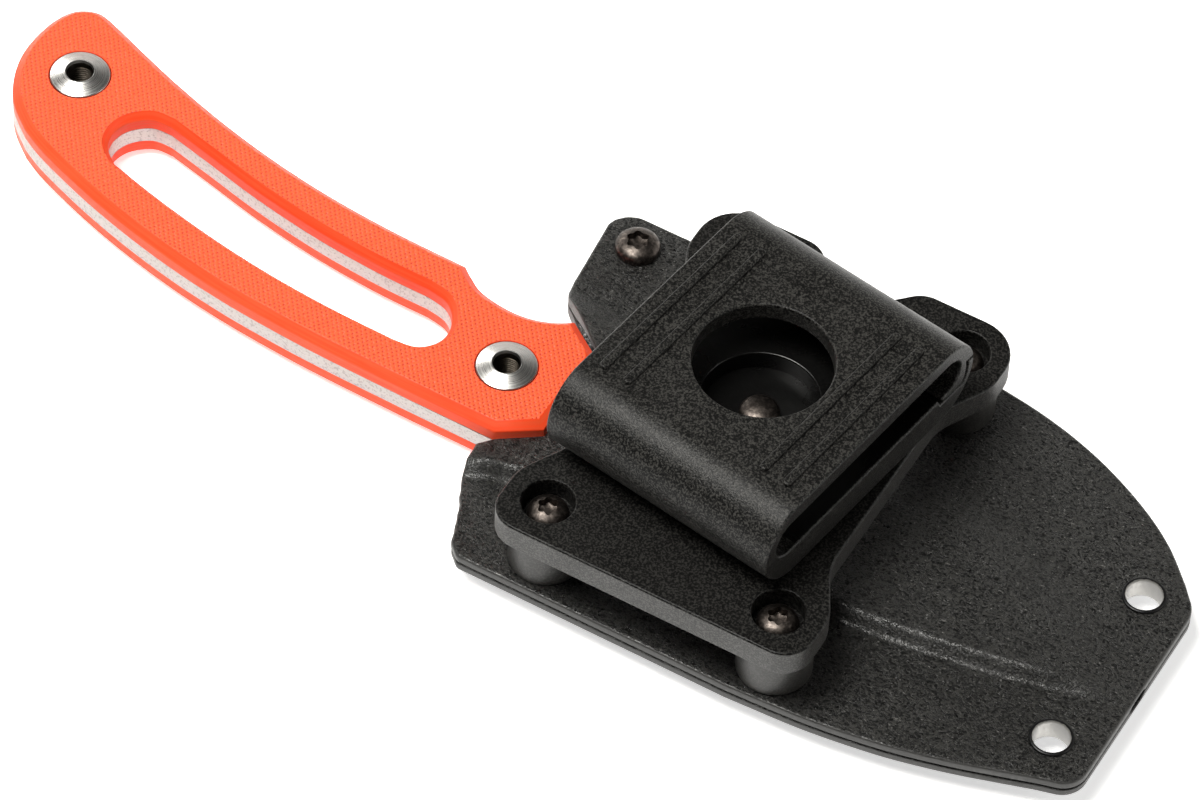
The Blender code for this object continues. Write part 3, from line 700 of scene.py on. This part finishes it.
def scale(node, side, face, cut):
    """One handle slab, with side 1 on the clip side and -1 on the other."""
    outline = handle_outline([(-9.7, -16.9), (-3.2, -12.4), (-3.2, 3.6), (-4.6, 5.35)])
    slot = slot_outline()
    profile = soft_chamfer(SCALE_TOP)
    layers = [(outline, side * SCALE_UNDER)]
    layers += [(drawn_in(outline, inset), side * z) for inset, z in profile]
    thing = stack(layers)
    opening = [(slot, side * (SCALE_UNDER - 1))]
    opening += [(moved_out(slot, inset * SLOT_CHAMFER_SHARE), side * z) for inset, z in profile[:-1]]
    opening.append((moved_out(slot, CHAMFER_IN * (SLOT_CHAMFER_SHARE + 0.01)), side * (SCALE_TOP + 1)))
    tools = [stack(opening)]
    seat = SCALE_TOP - SLEEVE_RIM_DEEP - 0.05
    for spot in SLEEVE_SPOTS.values():
        tools.append(rod(spot, SLEEVE_R + PLAY, side, side * 6))
        tools.append(cutter(circle(spot, SLEEVE_RIM_R + 0.18), side * seat, side * SCALE_TOP, 0.15, side))
    combine(thing, tools)

    def on_face(polygon):
        return side * polygon.normal.z > 0.97 and side * centre_of(polygon)[2] > SCALE_TOP - 0.05

    finish_piece(thing, node, "knife", [cut, face], on_face)


def thread(radius, start, turns, pitch=THREAD_PITCH, deep=0.22, root_end=0.8):
    """(radius, z) of a thread from its start. A negative pitch runs it down."""
    shape = ((0, 0), (0, 0.3), (deep, 0.5), (deep, root_end))
    places = [(start + turn * pitch, inset, share) for turn in range(turns) for inset, share in shape]
    return [(radius - inset, z + pitch * share) for z, inset, share in places]


def sleeve_nut(node, spot, finishes):
    """A raised conical head on a threaded tube that passes through both slabs and the tang."""
    rim_under = SCALE_TOP - SLEEVE_RIM_DEEP
    top = SCALE_TOP + SLEEVE_CONE_HIGH
    mouth = SLEEVE_BORE_R + 0.28
    turns = int((top - 0.9 - SLEEVE_END) / THREAD_PITCH)
    profile = [
        (SLEEVE_R, SLEEVE_END), (SLEEVE_R, rim_under), (SLEEVE_RIM_R, rim_under),
        (SLEEVE_RIM_R, SCALE_TOP - 0.06), (SLEEVE_RIM_R - 0.04, SCALE_TOP),
        (SLEEVE_RIM_R - 0.12, SCALE_TOP + 0.06), (mouth + 0.14, top - 0.04), (mouth + 0.05, top),
        (mouth - 0.03, top - 0.02), (SLEEVE_BORE_R + 0.1, top - 0.5),
        *thread(SLEEVE_BORE_R, SLEEVE_END, turns)[::-1],
    ]
    finish_fastener(turned(profile, spot, 96), node, spot, finishes)


def finish_fastener(thing, node, spot, finishes):
    """Finishes a handle fastener, with the second finish, painted shade, in its bore."""

    def in_bore(face):
        return off_axis(face, spot) < SLEEVE_BORE_R + 0.02 and centre_of(face)[2] > -2

    finish_piece(thing, node, "knife", finishes, in_bore)


def scale_screw(node, spot, finishes):
    """The screw from the back, with a rim like the sleeve's, a shallow dish and a six-sided socket."""
    low = -SCALE_TOP
    rim_under = SLEEVE_RIM_DEEP - SCALE_TOP
    shank_r = SLEEVE_BORE_R - GAP
    shank_end = -0.7
    profile = [
        (0, low + 0.5), (3.0, low + 0.42), (SLEEVE_RIM_R - 0.5, low + 0.05), (SLEEVE_RIM_R - 0.38, low),
        (SLEEVE_RIM_R - 0.14, low), (SLEEVE_RIM_R, low + 0.12), (SLEEVE_RIM_R, rim_under),
        (shank_r, rim_under), *thread(shank_r, shank_end, 5, -THREAD_PITCH, 0.18)[::-1],
        (shank_r - 0.3, shank_end), (0, shank_end),
    ]
    thing = turned(profile, spot, 96)
    small = HEX_SOCKET_R - 0.25
    socket = [(HEX_SOCKET_R, -1), (HEX_SOCKET_R, 0.5), (small, 0.75), (small, HEX_SOCKET_DEEP)]
    combine(thing, [stack([(circle(spot, radius, 6), low + deep) for radius, deep in socket])])
    finish_fastener(thing, node, spot, finishes)


# Sheath

MOUTH_EDGE = [
    (-15.2, 18, 0), (-14.6, 14.6, 3), (-10.4, 11.3, 3), (-4.6, 6.6, 2), (-2.4, 4.4, 1.5), (-2.4, -12.9, 1),
    (-9.3, -17.9, 1.5), (-11.2, -20.2, 1.5), (-10.3, -25.7, 5), (-6.9, -32.8, 12), (-5, -37.9, 2),
    (-2.9, -39.8, 1.5), (45, -39.8, 0),
]
PLATE_SCREW_SPOTS = [
    (PIVOT[0] + side_x * PLATE_SCREW_X, PIVOT[1] + side_y * PLATE_SCREW_Y)
    for side_y in (-1, 1) for side_x in (-1, 1)
]
SHELL_HOLES = [(spot, NUT_BARREL_R + 0.2) for spot in (EAR_SCREW_SPOT, *PLATE_SCREW_SPOTS)]
SHELL_HOLES += [(spot, EYELET_R + 0.1) for spot in EYELET_SPOTS.values()]


def shell_outline():
    """The sheath's outline from its lower side round the tip, the ear and the mouth."""
    lower_side = [(45, -39.8), (58, -39), (70, -37.3), (80, -34.9), (88, -32.4), (94.6, -30.2)]
    upper_side = [(96.9, 14.6), (91, 20.3), (84, 25), (75, 29.4), (65, 32.6), (54, 34.5), (42, SHEATH_HIGH_Y)]
    lower_corner = arc(95.9, -25.3, 4.4, -70, 0, 10)
    upper_corner = arc(94.8, 8.6, 5.5, 0, 44, 8)
    ear = arc(-12, 30.6, 4.6, 90, 172, 12)
    mouth = rounded(MOUTH_EDGE, 6)[:-1]
    tip = [*curve(lower_side), *lower_corner, *upper_corner, *curve(upper_side)]
    return [*tip, (42, SHEATH_HIGH_Y), *ear, *mouth]


def line_at(points, x):
    """Height of a polyline at x, held level past its ends."""
    if x <= points[0][0]:
        return points[0][1]
    for (x0, y0), (x1, y1) in zip(points, points[1:]):
        if x <= x1:
            return y0 + (y1 - y0) * (x - x0) / (x1 - x0)
    return points[-1][1]


STEP_FOOT = curve([
    (-18, -28.5), (-10.5, -25.6), (-3, -22.6), (6, -20.4), (20, -19.7), (40, -19.6), (58, -19.1),
    (74, -16.9), (86, -14.4), (98, -11.4), (104, -9.8),
])
SLOPE_FOOT = curve([
    (-18, 16.6), (5, 16.6), (14, 16.6), (42, 16.6), (59, 15.4), (74, 11.2), (86.5, 4.2), (94, -1.8),
    (98.5, -8.6), (104, -14),
])
SLOPE_TOP = curve([
    (-18, 12.4), (5, 8.0), (14, 3), (42, 2.4), (58, 1.6), (70.5, -0.6), (81, -4.4), (88, -7.6),
    (93.2, -10), (104, -14),
])


def pocket(x, y):
    """Share of the pocket's height: a short step on the spine side, a long slope on the edge side."""
    step_wide = STEP_WIDE + 0.8 * ease((4 - x) / 22)
    rise = ease((y + STEP_BACK - line_at(STEP_FOOT, x)) / step_wide)
    foot, top = line_at(SLOPE_FOOT, x), line_at(SLOPE_TOP, x)
    fall = ease((foot - y) / max(1.0, foot - top))
    fade = 1 - ease((x - 84) / 14)
    return rise * fall * (0.25 + 0.75 * fade) * (1 - ease((x - 95) / 4))


def dents(x, y, seed, size_x, size_y, high):
    return noise.noise((x / size_x, y / size_y, seed)) * high


def sheet_top(x, y, seed):
    """Height of the sheet's outer face, with waves, creases at the mouth and a crinkle on the step."""
    waves = dents(x, y, seed, 9, 9, 0.045) + dents(x, y, seed + 5, 3.1, 3.1, 0.018)
    creases = dents(x, y, seed + 9, 2.6, 1.1, 0.16) * ease((2 - x) / 11)
    lean = (x + 7.2 + 0.45 * (y + 24)) / 2.2
    ridge = 0.3 * math.exp(-lean * lean) * ease((-19 - y) / 2) * ease((y + 31) / 4)
    up_step = (y + STEP_BACK - line_at(STEP_FOOT, x)) / STEP_WIDE
    crinkle = dents(x, y, seed + 2, 1.3, 0.8, 0.022)
    crinkle *= ease(up_step * 4) * ease((1 - up_step) * 4)
    rise = (POCKET_TOP - FLANGE_TOP) * pocket(x, y)
    return FLANGE_TOP + rise + waves + creases + ridge + crinkle - SHEET_SUNK


def sheet_under(x, y):
    """Height of the sheet's inner face, with room for the blade and a drain gap at the tip."""
    drain = ease((x - 90.5) / 2) * ease((y + 10.5) / 0.5) * ease((-5.8 - y) / 0.5)
    blade_room = ease((y + 18.6) / 0.8) * ease((13.6 - y) / 5) * (1 - ease((x - 92) / 5))
    room = (POCKET_TOP - SHEET_THICK - FLANGE_INSIDE) * blade_room * (0.55 + 0.45 * pocket(x, y))
    return FLANGE_INSIDE + max(room, 0.75 * drain)


def shell_border(side, seed):
    """The sheath's outline. The front shell's is a little ragged at the mouth's lower corner."""
    border = divided(shell_outline(), 0.9)
    if side < 0:
        return border
    return [
        (x + dents(x, y, seed, 2.2, 2.2, 0.4) * ease((-2 - x) / 5) * ease((-18 - y) / 4), y)
        for x, y in border
    ]


def row_crossings(loop, y):
    """Where a row at y crosses the closed loop, from left to right."""
    found = []
    for index, point in enumerate(loop):
        last = loop[index - 1]
        if (last.y > y) != (point.y > y):
            found.append(last.x + (point.x - last.x) * (y - last.y) / (point.y - last.y))
    return sorted(found)


def inside(crossings, x):
    return sum(1 for crossing in crossings if crossing < x) % 2 == 1


def clear_of_holes(x, y, room):
    return all(math.hypot(x - spot[0], y - spot[1]) > radius + room for spot, radius in SHELL_HOLES)


def sheet_points(inner):
    """Staggered rows of points inside a loop, with finer rows that follow the pocket's step."""
    lift = 1e-4
    low_x, high_x = min(p.x for p in inner), max(p.x for p in inner)
    y, high_y = min(p.y for p in inner), max(p.y for p in inner)
    points = []
    row = 0
    while y < high_y:
        crossings = row_crossings(inner, y + lift)
        x = low_x + (row % 2) * SHEET_GRID / 2
        while x < high_x:
            on_step = -1.8 < y - line_at(STEP_FOOT, x) < 3.0
            if inside(crossings, x) and clear_of_holes(x, y, 0.5) and not on_step:
                points.append((x, y))
            x += SHEET_GRID
        y += SHEET_GRID * 0.866
        row += 1
    for row in range(12):
        for step in range(186):
            x = -12 + 0.3 * (row % 2) + 0.6 * step
            y = line_at(STEP_FOOT, x) + (-1.4 + 0.36 * row)
            if inside(row_crossings(inner, y + lift), x) and clear_of_holes(x, y, 0.3):
                points.append((x, y))
    return points


def shell(node, side, seed, face, edge):
    """One half of the sheath as a formed sheet with rounded cut edges."""
    border = shell_border(side, seed)
    inner = [Vector(point) for point in moved_out(border, -SHEET_EDGE_R - 0.4)]
    points, drops, rings = [], [], []
    for inset, drop in rim(SHEET_EDGE_R, 3):
        if inset == 0:
            rings.append(range(len(points), len(points) + len(border)))
        points += moved_out(border, -inset)
        drops += [drop] * len(border)
    for spot, radius in SHELL_HOLES:
        rings.append(range(len(points), len(points) + SHEET_HOLE_SIDES))
        points += circle(spot, radius, SHEET_HOLE_SIDES)
    edges = [pair for ring in rings for pair in zip(ring, [*ring[1:], ring[0]])]
    points += sheet_points(inner)
    drops += [0.0] * (len(points) - len(drops))
    flat, _, faces, origins, _, _ = delaunay_2d_cdt([Vector(point) for point in points], edges, [], 1, 1e-5)

    data = bmesh.new()
    low = [drops[origin[0]] if origin else 0.0 for origin in origins]
    tops = [data.verts.new((x, y, side * (sheet_top(x, y, seed) - d))) for (x, y), d in zip(flat, low)]
    unders = [data.verts.new((x, y, side * (sheet_under(x, y) + 0.4 * d))) for (x, y), d in zip(flat, low)]
    for a, b, c in faces:
        middle = (flat[a] + flat[b] + flat[c]) / 3
        if clear_of_holes(*middle, 0):
            data.faces.new((tops[a], tops[b], tops[c]))
            data.faces.new((unders[c], unders[b], unders[a]))
    under_of = dict(zip(tops, unders))
    for wall in [e for e in data.edges if len(e.link_faces) == 1]:
        a, b = wall.verts
        if a in under_of and b in under_of:
            data.faces.new((a, b, under_of[b], under_of[a]))
    loose = [vertex for vertex in data.verts if not vertex.link_faces]
    bmesh.ops.delete(data, geom=loose, context="VERTS")
    finish_piece(
        from_bmesh(data), node, "sheath", [face, edge], sharp_deg=60,
        chooser=lambda polygon: abs(polygon.normal.z) < 0.8 and near_border(polygon, inner),
    )


def near_border(face, inner):
    x, y, _ = centre_of(face)
    return not inside(row_crossings(inner, y), x)


def eyelet(node, spot, finish):
    """A barrel rolled over at both faces of the sheath."""
    under = FLANGE_TOP + 0.05
    upper = [
        (EYELET_R, under), (EYELET_RIM_R - 0.05, under),
        *arc(EYELET_RIM_R - EYELET_ROLL_R, under, EYELET_ROLL_R, 0, 100, 5),
        (EYELET_BORE_R + 0.12, under + 0.3), (EYELET_BORE_R + 0.03, under + 0.1),
        (EYELET_BORE_R, under - 0.3),
    ]
    thing = turned([*upper, *[(radius, -z) for radius, z in upper[::-1]]], spot, 72)
    finish_piece(thing, node, "sheath", [finish])


def flange_nut(node, spot, finish):
    """A low domed flange on the back shell, with a threaded barrel that reaches up through both shells."""
    under = -FLANGE_TOP - PLAY
    low = under - NUT_FLANGE_HIGH
    bore = SCREW_R + 0.15
    profile = [
        (NUT_BARREL_R, under), (NUT_BARREL_R, FLANGE_TOP - 0.3), (bore, FLANGE_TOP - 0.3),
        *[(bore + 0.15 * (step % 2), 1.2 - THREAD_PITCH / 2 * step) for step in range(14)],
        (bore + 0.1, low + 0.25), (bore + 0.35, low), (NUT_FLANGE_R - 1.1, low),
        (NUT_FLANGE_R - 0.4, low + 0.18), (NUT_FLANGE_R - 0.08, low + 0.5), (NUT_FLANGE_R, low + 0.75),
        (NUT_FLANGE_R, under),
    ]
    finish_piece(turned(profile, spot), node, "sheath", [finish])


def six_lobes(spot, radius, depth=0.14, sides=72):
    points = []
    for step in range(sides):
        angle = 2 * math.pi * step / sides
        reach = radius * (1 + depth * math.cos(6 * angle))
        points.append((spot[0] + reach * math.cos(angle), spot[1] + reach * math.sin(angle)))
    return points


def button_screw(node, spot, seat, head, shank_r, shank_end, finish, socket=True):
    """A domed head of (radius, height) on its seat, a threaded shank, and a six-lobe socket if wanted."""
    head_r, head_high = head
    top = seat + head_high
    wall = 0.22 * head_high
    turns = int((seat - shank_end - 0.6) / THREAD_PITCH)
    profile = [
        (0, shank_end), (shank_r - 0.35, shank_end), (shank_r - 0.1, shank_end + 0.3),
        *thread(shank_r, seat - 0.3, turns, -THREAD_PITCH, 0.2, 0.7)[::-1], (shank_r, seat),
        (head_r - 0.1, seat), (head_r, seat + 0.08),
    ]
    steps = 12
    for step in range(steps):
        angle = math.radians(90 * step / steps)
        z = seat + wall + (head_high - wall) * math.sin(angle) ** 0.85
        profile.append((head_r * math.cos(angle), z))
    thing = turned([*profile, (0, top)], spot, 72)
    if socket:
        lobe_r, floor = 0.47 * head_r, top - 0.62 * head_high
        layers = [
            (0.2 * head_r, floor - 0.2), (lobe_r, floor), (lobe_r, top - 0.28), (lobe_r + 0.12, top - 0.02),
            (lobe_r + 0.12, top + 1),
        ]
        combine(thing, [stack([(six_lobes(spot, radius), z) for radius, z in layers])])
    finish_piece(thing, node, "sheath", [finish])


# Clip plate


def plate_outline():
    """The clip plate about the pivot: four ears, drawn-in sides, and a dip in the far edge."""
    side = [(27.6, -26.8, 8), (22.8, -18.2, 10), (22.8, 17.2, 10), (27.6, 26, 8)]
    far_edge = [
        (27.6, 37.3, 7), (9.4, 37.3, 5), (4.6, 32.4, 5), (-4.6, 32.4, 5), (-9.4, 37.3, 5), (-27.6, 37.3, 7),
    ]
    corners = [(-27.6, -37.4, 5), (27.6, -37.4, 5), *side, *far_edge, *[(-x, y, r) for x, y, r in side[::-1]]]
    return [(x + PIVOT[0], y + PIVOT[1]) for x, y in rounded(corners, 10)]


def clip_plate(face, wall):
    thing = slab(plate_outline(), PLATE_LOW, PLATE_TOP, 0.3, 0.42)
    tools = []
    for spot in PLATE_SCREW_SPOTS:
        tools.append(rod(spot, SCREW_R + GAP, PLATE_LOW - 1, PLATE_TOP))
        tools.append(cutter(circle(spot, COUNTERBORE_R), COUNTERBORE_FLOOR, PLATE_TOP, 0.3))
    tools.append(rod(PIVOT, SWIVEL_SCREW_R + GAP, PLATE_LOW - 1, PLATE_TOP + 1))
    combine(thing, tools)
    # The side walls take the second finish, which is coloured lighter than the top as painted light.
    finish_piece(
        thing, "clip_plate", "sheath", [face, wall],
        chooser=lambda polygon: abs(polygon.normal.z) < 0.5 and not in_counterbore(polygon),
    )


def in_counterbore(face):
    return any(off_axis(face, spot) < COUNTERBORE_R + 0.6 for spot in PLATE_SCREW_SPOTS)


def spacer(node, spot, finish):
    """A round standoff with eased edges, between the front shell and the plate."""
    low, high = FLANGE_TOP + PLAY, PLATE_LOW - PLAY
    bore = SCREW_R + GAP
    profile = [
        (bore, low), (SPACER_R - 0.35, low), (SPACER_R - 0.1, low + 0.1), (SPACER_R, low + 0.35),
        (SPACER_R, high - 0.3), (SPACER_R - 0.1, high - 0.08), (SPACER_R - 0.3, high), (bore, high),
    ]
    # Its finish is coloured lighter than the plate's top as painted light.
    finish_piece(turned(profile, spot, 96), node, "sheath", [finish])


def swivel_nut(finish):
    high = PLATE_LOW - PLAY
    low = high - SWIVEL_NUT_HIGH
    outline = rounded([(x, y, 0.25) for x, y in circle(PIVOT, SWIVEL_NUT_R, 6)], 4)
    thing = slab(outline, low, high, 0.35, 0.1)
    combine(thing, [rod(PIVOT, SWIVEL_SCREW_R + 0.15, low - 1, high + 1)])
    finish_piece(thing, "swivel_nut", "sheath", [finish])


# Belt loop


def loop_place(u, v, z):
    angle = math.radians(LOOP_TURN_DEG)
    x = PIVOT[0] + u * math.cos(angle) - v * math.sin(angle)
    y = PIVOT[1] + u * math.sin(angle) + v * math.cos(angle)
    return x, y, z


def loop_solid(section):
    """The (v, z) section run along u with rounded end edges. Points on the joint's plane keep their v."""
    rings = []
    for side, steps in ((-1, rim(LOOP_EDGE_R)[::-1]), (1, rim(LOOP_EDGE_R))):
        for inset, drop in steps:
            u = side * (LOOP_HALF_WIDE - drop)
            moved = [
                (old if abs(old + LOOP_ARC_V) < TINY else v, z)
                for (old, _), (v, z) in zip(section, drawn_in(section, inset))
            ]
            rings.append([loop_place(u, v, z) for v, z in moved])
    return solid(rings)


def loop_tool(tool):
    """Moves a tool drawn about the pivot in the loop's frame into place."""
    turn = Matrix.Rotation(math.radians(LOOP_TURN_DEG), 4, "Z")
    tool.data.transform(Matrix.Translation((*PIVOT, 0)) @ turn)
    return tool


def angle_at(z, radius):
    """Degrees above level at which a loop arc of that radius reaches the height z."""
    return math.degrees(math.asin((z - LOOP_MIDDLE) / radius))


def loop_floor_section():
    """The lower wall from the near bend to the lip."""
    lip_inside = arc(LOOP_ARC_V, LOOP_MIDDLE, LIP_R, angle_at(LIP_TOP, LIP_R), angle_at(TOE_FLOOR, LIP_R), 12)
    return [
        (-LOOP_ARC_V, LOOP_BOTTOM),
        *arc(LOOP_ARC_V, LOOP_MIDDLE, LOOP_R, 270, 360 + angle_at(LIP_TOP, LOOP_R), 24), *lip_inside,
        (TOE_ROOM_LOW_V, TOE_FLOOR), (TOE_ROOM_TOP_V, FLOOR_TOP), (-LOOP_ARC_V, FLOOR_TOP),
    ]


def loop_arm_section():
    """The near bend, the upper wall, and the far end that steps in to its toe."""
    step_z = LIP_TOP + GAP
    toe_low = TOE_FLOOR + GAP
    return [
        (-LOOP_ARC_V, FLOOR_TOP), *arc(NEAR_PASSAGE_V, PASSAGE_MIDDLE, PASSAGE_R, 270, 90, 24),
        *arc(FAR_PASSAGE_V, PASSAGE_MIDDLE, PASSAGE_R, 90, -90, 24),
        (TOE_TOP_V, FLOOR_TOP), (TOE_LOW_V, toe_low),
        *arc(LOOP_ARC_V, LOOP_MIDDLE, TOE_R, angle_at(toe_low, TOE_R), angle_at(step_z, TOE_R), 12),
        *arc(LOOP_ARC_V, LOOP_MIDDLE, LOOP_R, angle_at(step_z, LOOP_R), 90, 20),
        *arc(-LOOP_ARC_V, LOOP_MIDDLE, LOOP_R, 90, 270, 48),
    ]


def in_recess(face):
    return off_axis(face, PIVOT) < LOOP_HOLE_R and centre_of(face)[2] < FLOOR_TOP + 0.1


def loop_floor(finish, recess_shade_finish):
    thing = loop_solid(loop_floor_section())
    recess = cutter(circle((0, 0), RECESS_R, 96), RECESS_FLOOR, FLOOR_TOP, 0.25)
    hole = rod((0, 0), SWIVEL_SCREW_R + GAP, LOOP_BOTTOM - 1, FLOOR_TOP)
    combine(thing, [loop_tool(recess), loop_tool(hole)])
    # The recess takes the second finish, coloured nearly black as painted shade.
    finish_piece(thing, "loop_base", "belt_loop", [finish, recess_shade_finish], chooser=in_recess)


def rib(u):
    """A bar with a rounded top and eased ends, sunk into the loop's upper face."""
    half = RIB_WIDE / 2
    end_v = RIB_LONG / 2 - half
    outline = [*arc(u, end_v, half, 0, 180, 10), *arc(u, -end_v, half, 180, 360, 10)]
    layers = [(moved_out(outline, 0.06), LOOP_TOP + high) for high in (-0.8, 0.02)]
    layers += [(moved_out(outline, -inset), LOOP_TOP + RIB_HIGH - drop) for inset, drop in rim(RIB_EDGE_R)]
    return stack(layers)


def loop_arm(finish):
    thing = loop_solid(loop_arm_section())
    combine(thing, [loop_tool(rib(u)) for u in RIB_SPOTS], "UNION")
    hole = cutter(circle((0, 0), LOOP_HOLE_R, 128), PASSAGE_MIDDLE, LOOP_TOP, 0.4)
    combine(thing, [loop_tool(hole)])
    finish_piece(thing, "loop_arm", None, [finish])
    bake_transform(thing)


# Stage

FLOOR_HALF = 6000
FLOOR_Z = -0.3
CAMERA_DEG = (27.5, 51.14, 3.17)
CAMERA_AWAY_M = 1.1019
CAMERA_LENS = 208.3

# The sky's strength is the product of these: (axis of the direction, from, to, share there, share here)
SKY_RAMPS = (("Z", 0.25, 0.62, 1.0, 0.05), ("Y", -0.5, 0.3, 0.1, 1.0))

# Direction, distance in metres, size in metres, watts
LAMPS = {
    "overhead": ((-0.24, -0.24, 0.94), 1.0, (0.46, 0.46), 13.0),
    "back_left": ((-1.0, 0.55, 0.55), 1.2, (0.5, 0.35), 3.0),
    "right": ((1.0, 0.3, 0.6), 1.3, (0.4, 0.4), 2.0),
}


def floor():
    data = bmesh.new()
    bmesh.ops.create_grid(data, x_segments=8, y_segments=8, size=FLOOR_HALF)
    thing = from_bmesh(data)
    thing.name = "floor"
    thing.data.transform(Matrix.Scale(MM, 4) @ Matrix.Translation((0, 0, FLOOR_Z)))
    thing.data.materials.append(floor_paper().material)


def area_light(name, direction, distance, size, watts):
    light = bpy.data.lights.new(name, "AREA")
    light.shape = "RECTANGLE"
    light.size, light.size_y = size
    light.energy = watts
    light.color = WARM_WHITE
    made = bpy.data.objects.new(name, light)
    bpy.context.scene.collection.objects.link(made)
    place = Vector(direction).normalized() * distance
    made.location = place + SHIFT * MM
    made.rotation_mode = "QUATERNION"
    made.rotation_quaternion = (-place).to_track_quat("-Z", "Y")


def camera():
    """A long lens that looks at the design point, turned by its azimuth, elevation and roll."""
    azimuth, elevation, roll = (math.radians(angle) for angle in CAMERA_DEG)
    right = Vector((math.cos(azimuth), math.sin(azimuth), 0))
    level = math.cos(elevation)
    ahead = Vector((-math.sin(azimuth) * level, math.cos(azimuth) * level, -math.sin(elevation)))
    up = right.cross(ahead)
    rolled_right = math.cos(roll) * right + math.sin(roll) * up
    rolled_up = math.cos(roll) * up - math.sin(roll) * right
    lens = bpy.data.cameras.new("camera")
    lens.lens = CAMERA_LENS
    lens.sensor_width = 36
    lens.clip_start, lens.clip_end = 0.05, 30
    made = bpy.data.objects.new("camera", lens)
    bpy.context.scene.collection.objects.link(made)
    place = SHIFT * MM - ahead * CAMERA_AWAY_M
    rotation = Matrix((rolled_right, rolled_up, -ahead)).transposed().to_4x4()
    made.matrix_world = Matrix.Translation(place) @ rotation
    bpy.context.scene.camera = made


def sky():
    """A soft white surround, dim straight overhead and on the near side."""
    world = bpy.data.worlds.new("studio")
    bpy.context.scene.world = world
    world.use_nodes = True
    tree = world.node_tree
    background = tree.nodes["Background"]
    background.inputs["Color"].default_value = (*WARM_WHITE, 1)
    place = tree.nodes.new("ShaderNodeTexCoord")
    parts = tree.nodes.new("ShaderNodeSeparateXYZ")
    tree.links.new(place.outputs["Generated"], parts.inputs[0])
    strength = tree.nodes.new("ShaderNodeMath")
    strength.operation = "MULTIPLY"
    for index, (axis, *values) in enumerate(SKY_RAMPS):
        ramp = tree.nodes.new("ShaderNodeMapRange")
        for socket, value in enumerate(values, 1):
            ramp.inputs[socket].default_value = value
        tree.links.new(parts.outputs[axis], ramp.inputs["Value"])
        tree.links.new(ramp.outputs[0], strength.inputs[index])
    tree.links.new(strength.outputs[0], background.inputs["Strength"])


def main():
    face, cut = laminate_face(), laminate_cut()
    fastener = [turned_steel(), bore_shade_steel()]
    blade(satin_steel())
    scale("front_scale", 1, face, cut)
    scale("back_scale", -1, face, cut)
    for name, spot in SLEEVE_SPOTS.items():
        sleeve_nut(f"{name}_sleeve_nut", spot, fastener)
        scale_screw(f"{name}_scale_screw", spot, fastener)

    sheet, edge = sheath_sheet(), sheet_edge()
    shell("sheath_front_shell", 1, 3.0, sheet, edge)
    shell("sheath_back_shell", -1, 8.0, sheet, edge)
    black, dark = eyelet_black(), dark_steel()
    for name, spot in EYELET_SPOTS.items():
        eyelet(f"{name}_eyelet", spot, black)
    seat = FLANGE_TOP + PLAY
    button_screw("retention_screw", EAR_SCREW_SPOT, seat, EAR_SCREW_HEAD, SCREW_R, SCREW_END, dark)
    flange_nut("retention_nut", EAR_SCREW_SPOT, dark)

    # Greys of the dents and crowns, which paint the texture's shade and highlight, roughness from and to,
    # texture per mm, its height in mm, and gloss
    # The plate's top is coloured darker than the loop's top: painted shade from the loop above it.
    plate_shaded_face = spark_plastic("plate_shaded_face", 0.0003, 0.026, 0.34, 0.40, 2.7, 0.07, 0.18)
    # The plate's side walls are coloured lighter than its top: painted light from the bright floor and
    # surround.
    plate_lit_wall = spark_plastic("plate_lit_wall", 0.008, 0.056, 0.4, 0.5, 3.0, 0.08)
    # The spacers are coloured lighter grey: painted light from the floor.
    spacer_lit_face = spark_plastic("spacer_lit_face", 0.016, 0.042, 0.36, 0.48, 3.0, 0.04)
    loop_face = spark_plastic("loop_face", 0.0004, 0.042, 0.33, 0.39, 3.2, 0.07, 0.2)
    # The swivel recess is coloured nearly black: painted shade inside the loop's hole.
    recess_shade_face = spark_plastic("recess_shade_face", 0.0004, 0.0025, 0.26, 0.30, 3.8, 0.015)
    clip_plate(plate_shaded_face, plate_lit_wall)
    seat = COUNTERBORE_FLOOR + PLAY
    for number, spot in enumerate(PLATE_SCREW_SPOTS, 1):
        spacer(f"spacer_{number}", spot, spacer_lit_face)
        button_screw(f"plate_screw_{number}", spot, seat, PLATE_SCREW_HEAD, SCREW_R, SCREW_END, dark)
        flange_nut(f"plate_nut_{number}", spot, dark)
    seat = RECESS_FLOOR + PLAY
    head = (SWIVEL_HEAD_R, SWIVEL_HEAD_TOP - seat)
    button_screw("swivel_screw", PIVOT, seat, head, SWIVEL_SCREW_R, SWIVEL_SCREW_END, dark, socket=False)
    swivel_nut(dark)
    loop_floor(loop_face, recess_shade_face)
    loop_arm(loop_face)

    floor()
    camera()
    sky()
    for name, values in LAMPS.items():
        area_light(name, *values)
    bpy.context.scene.view_settings.view_transform = "Standard"


main()
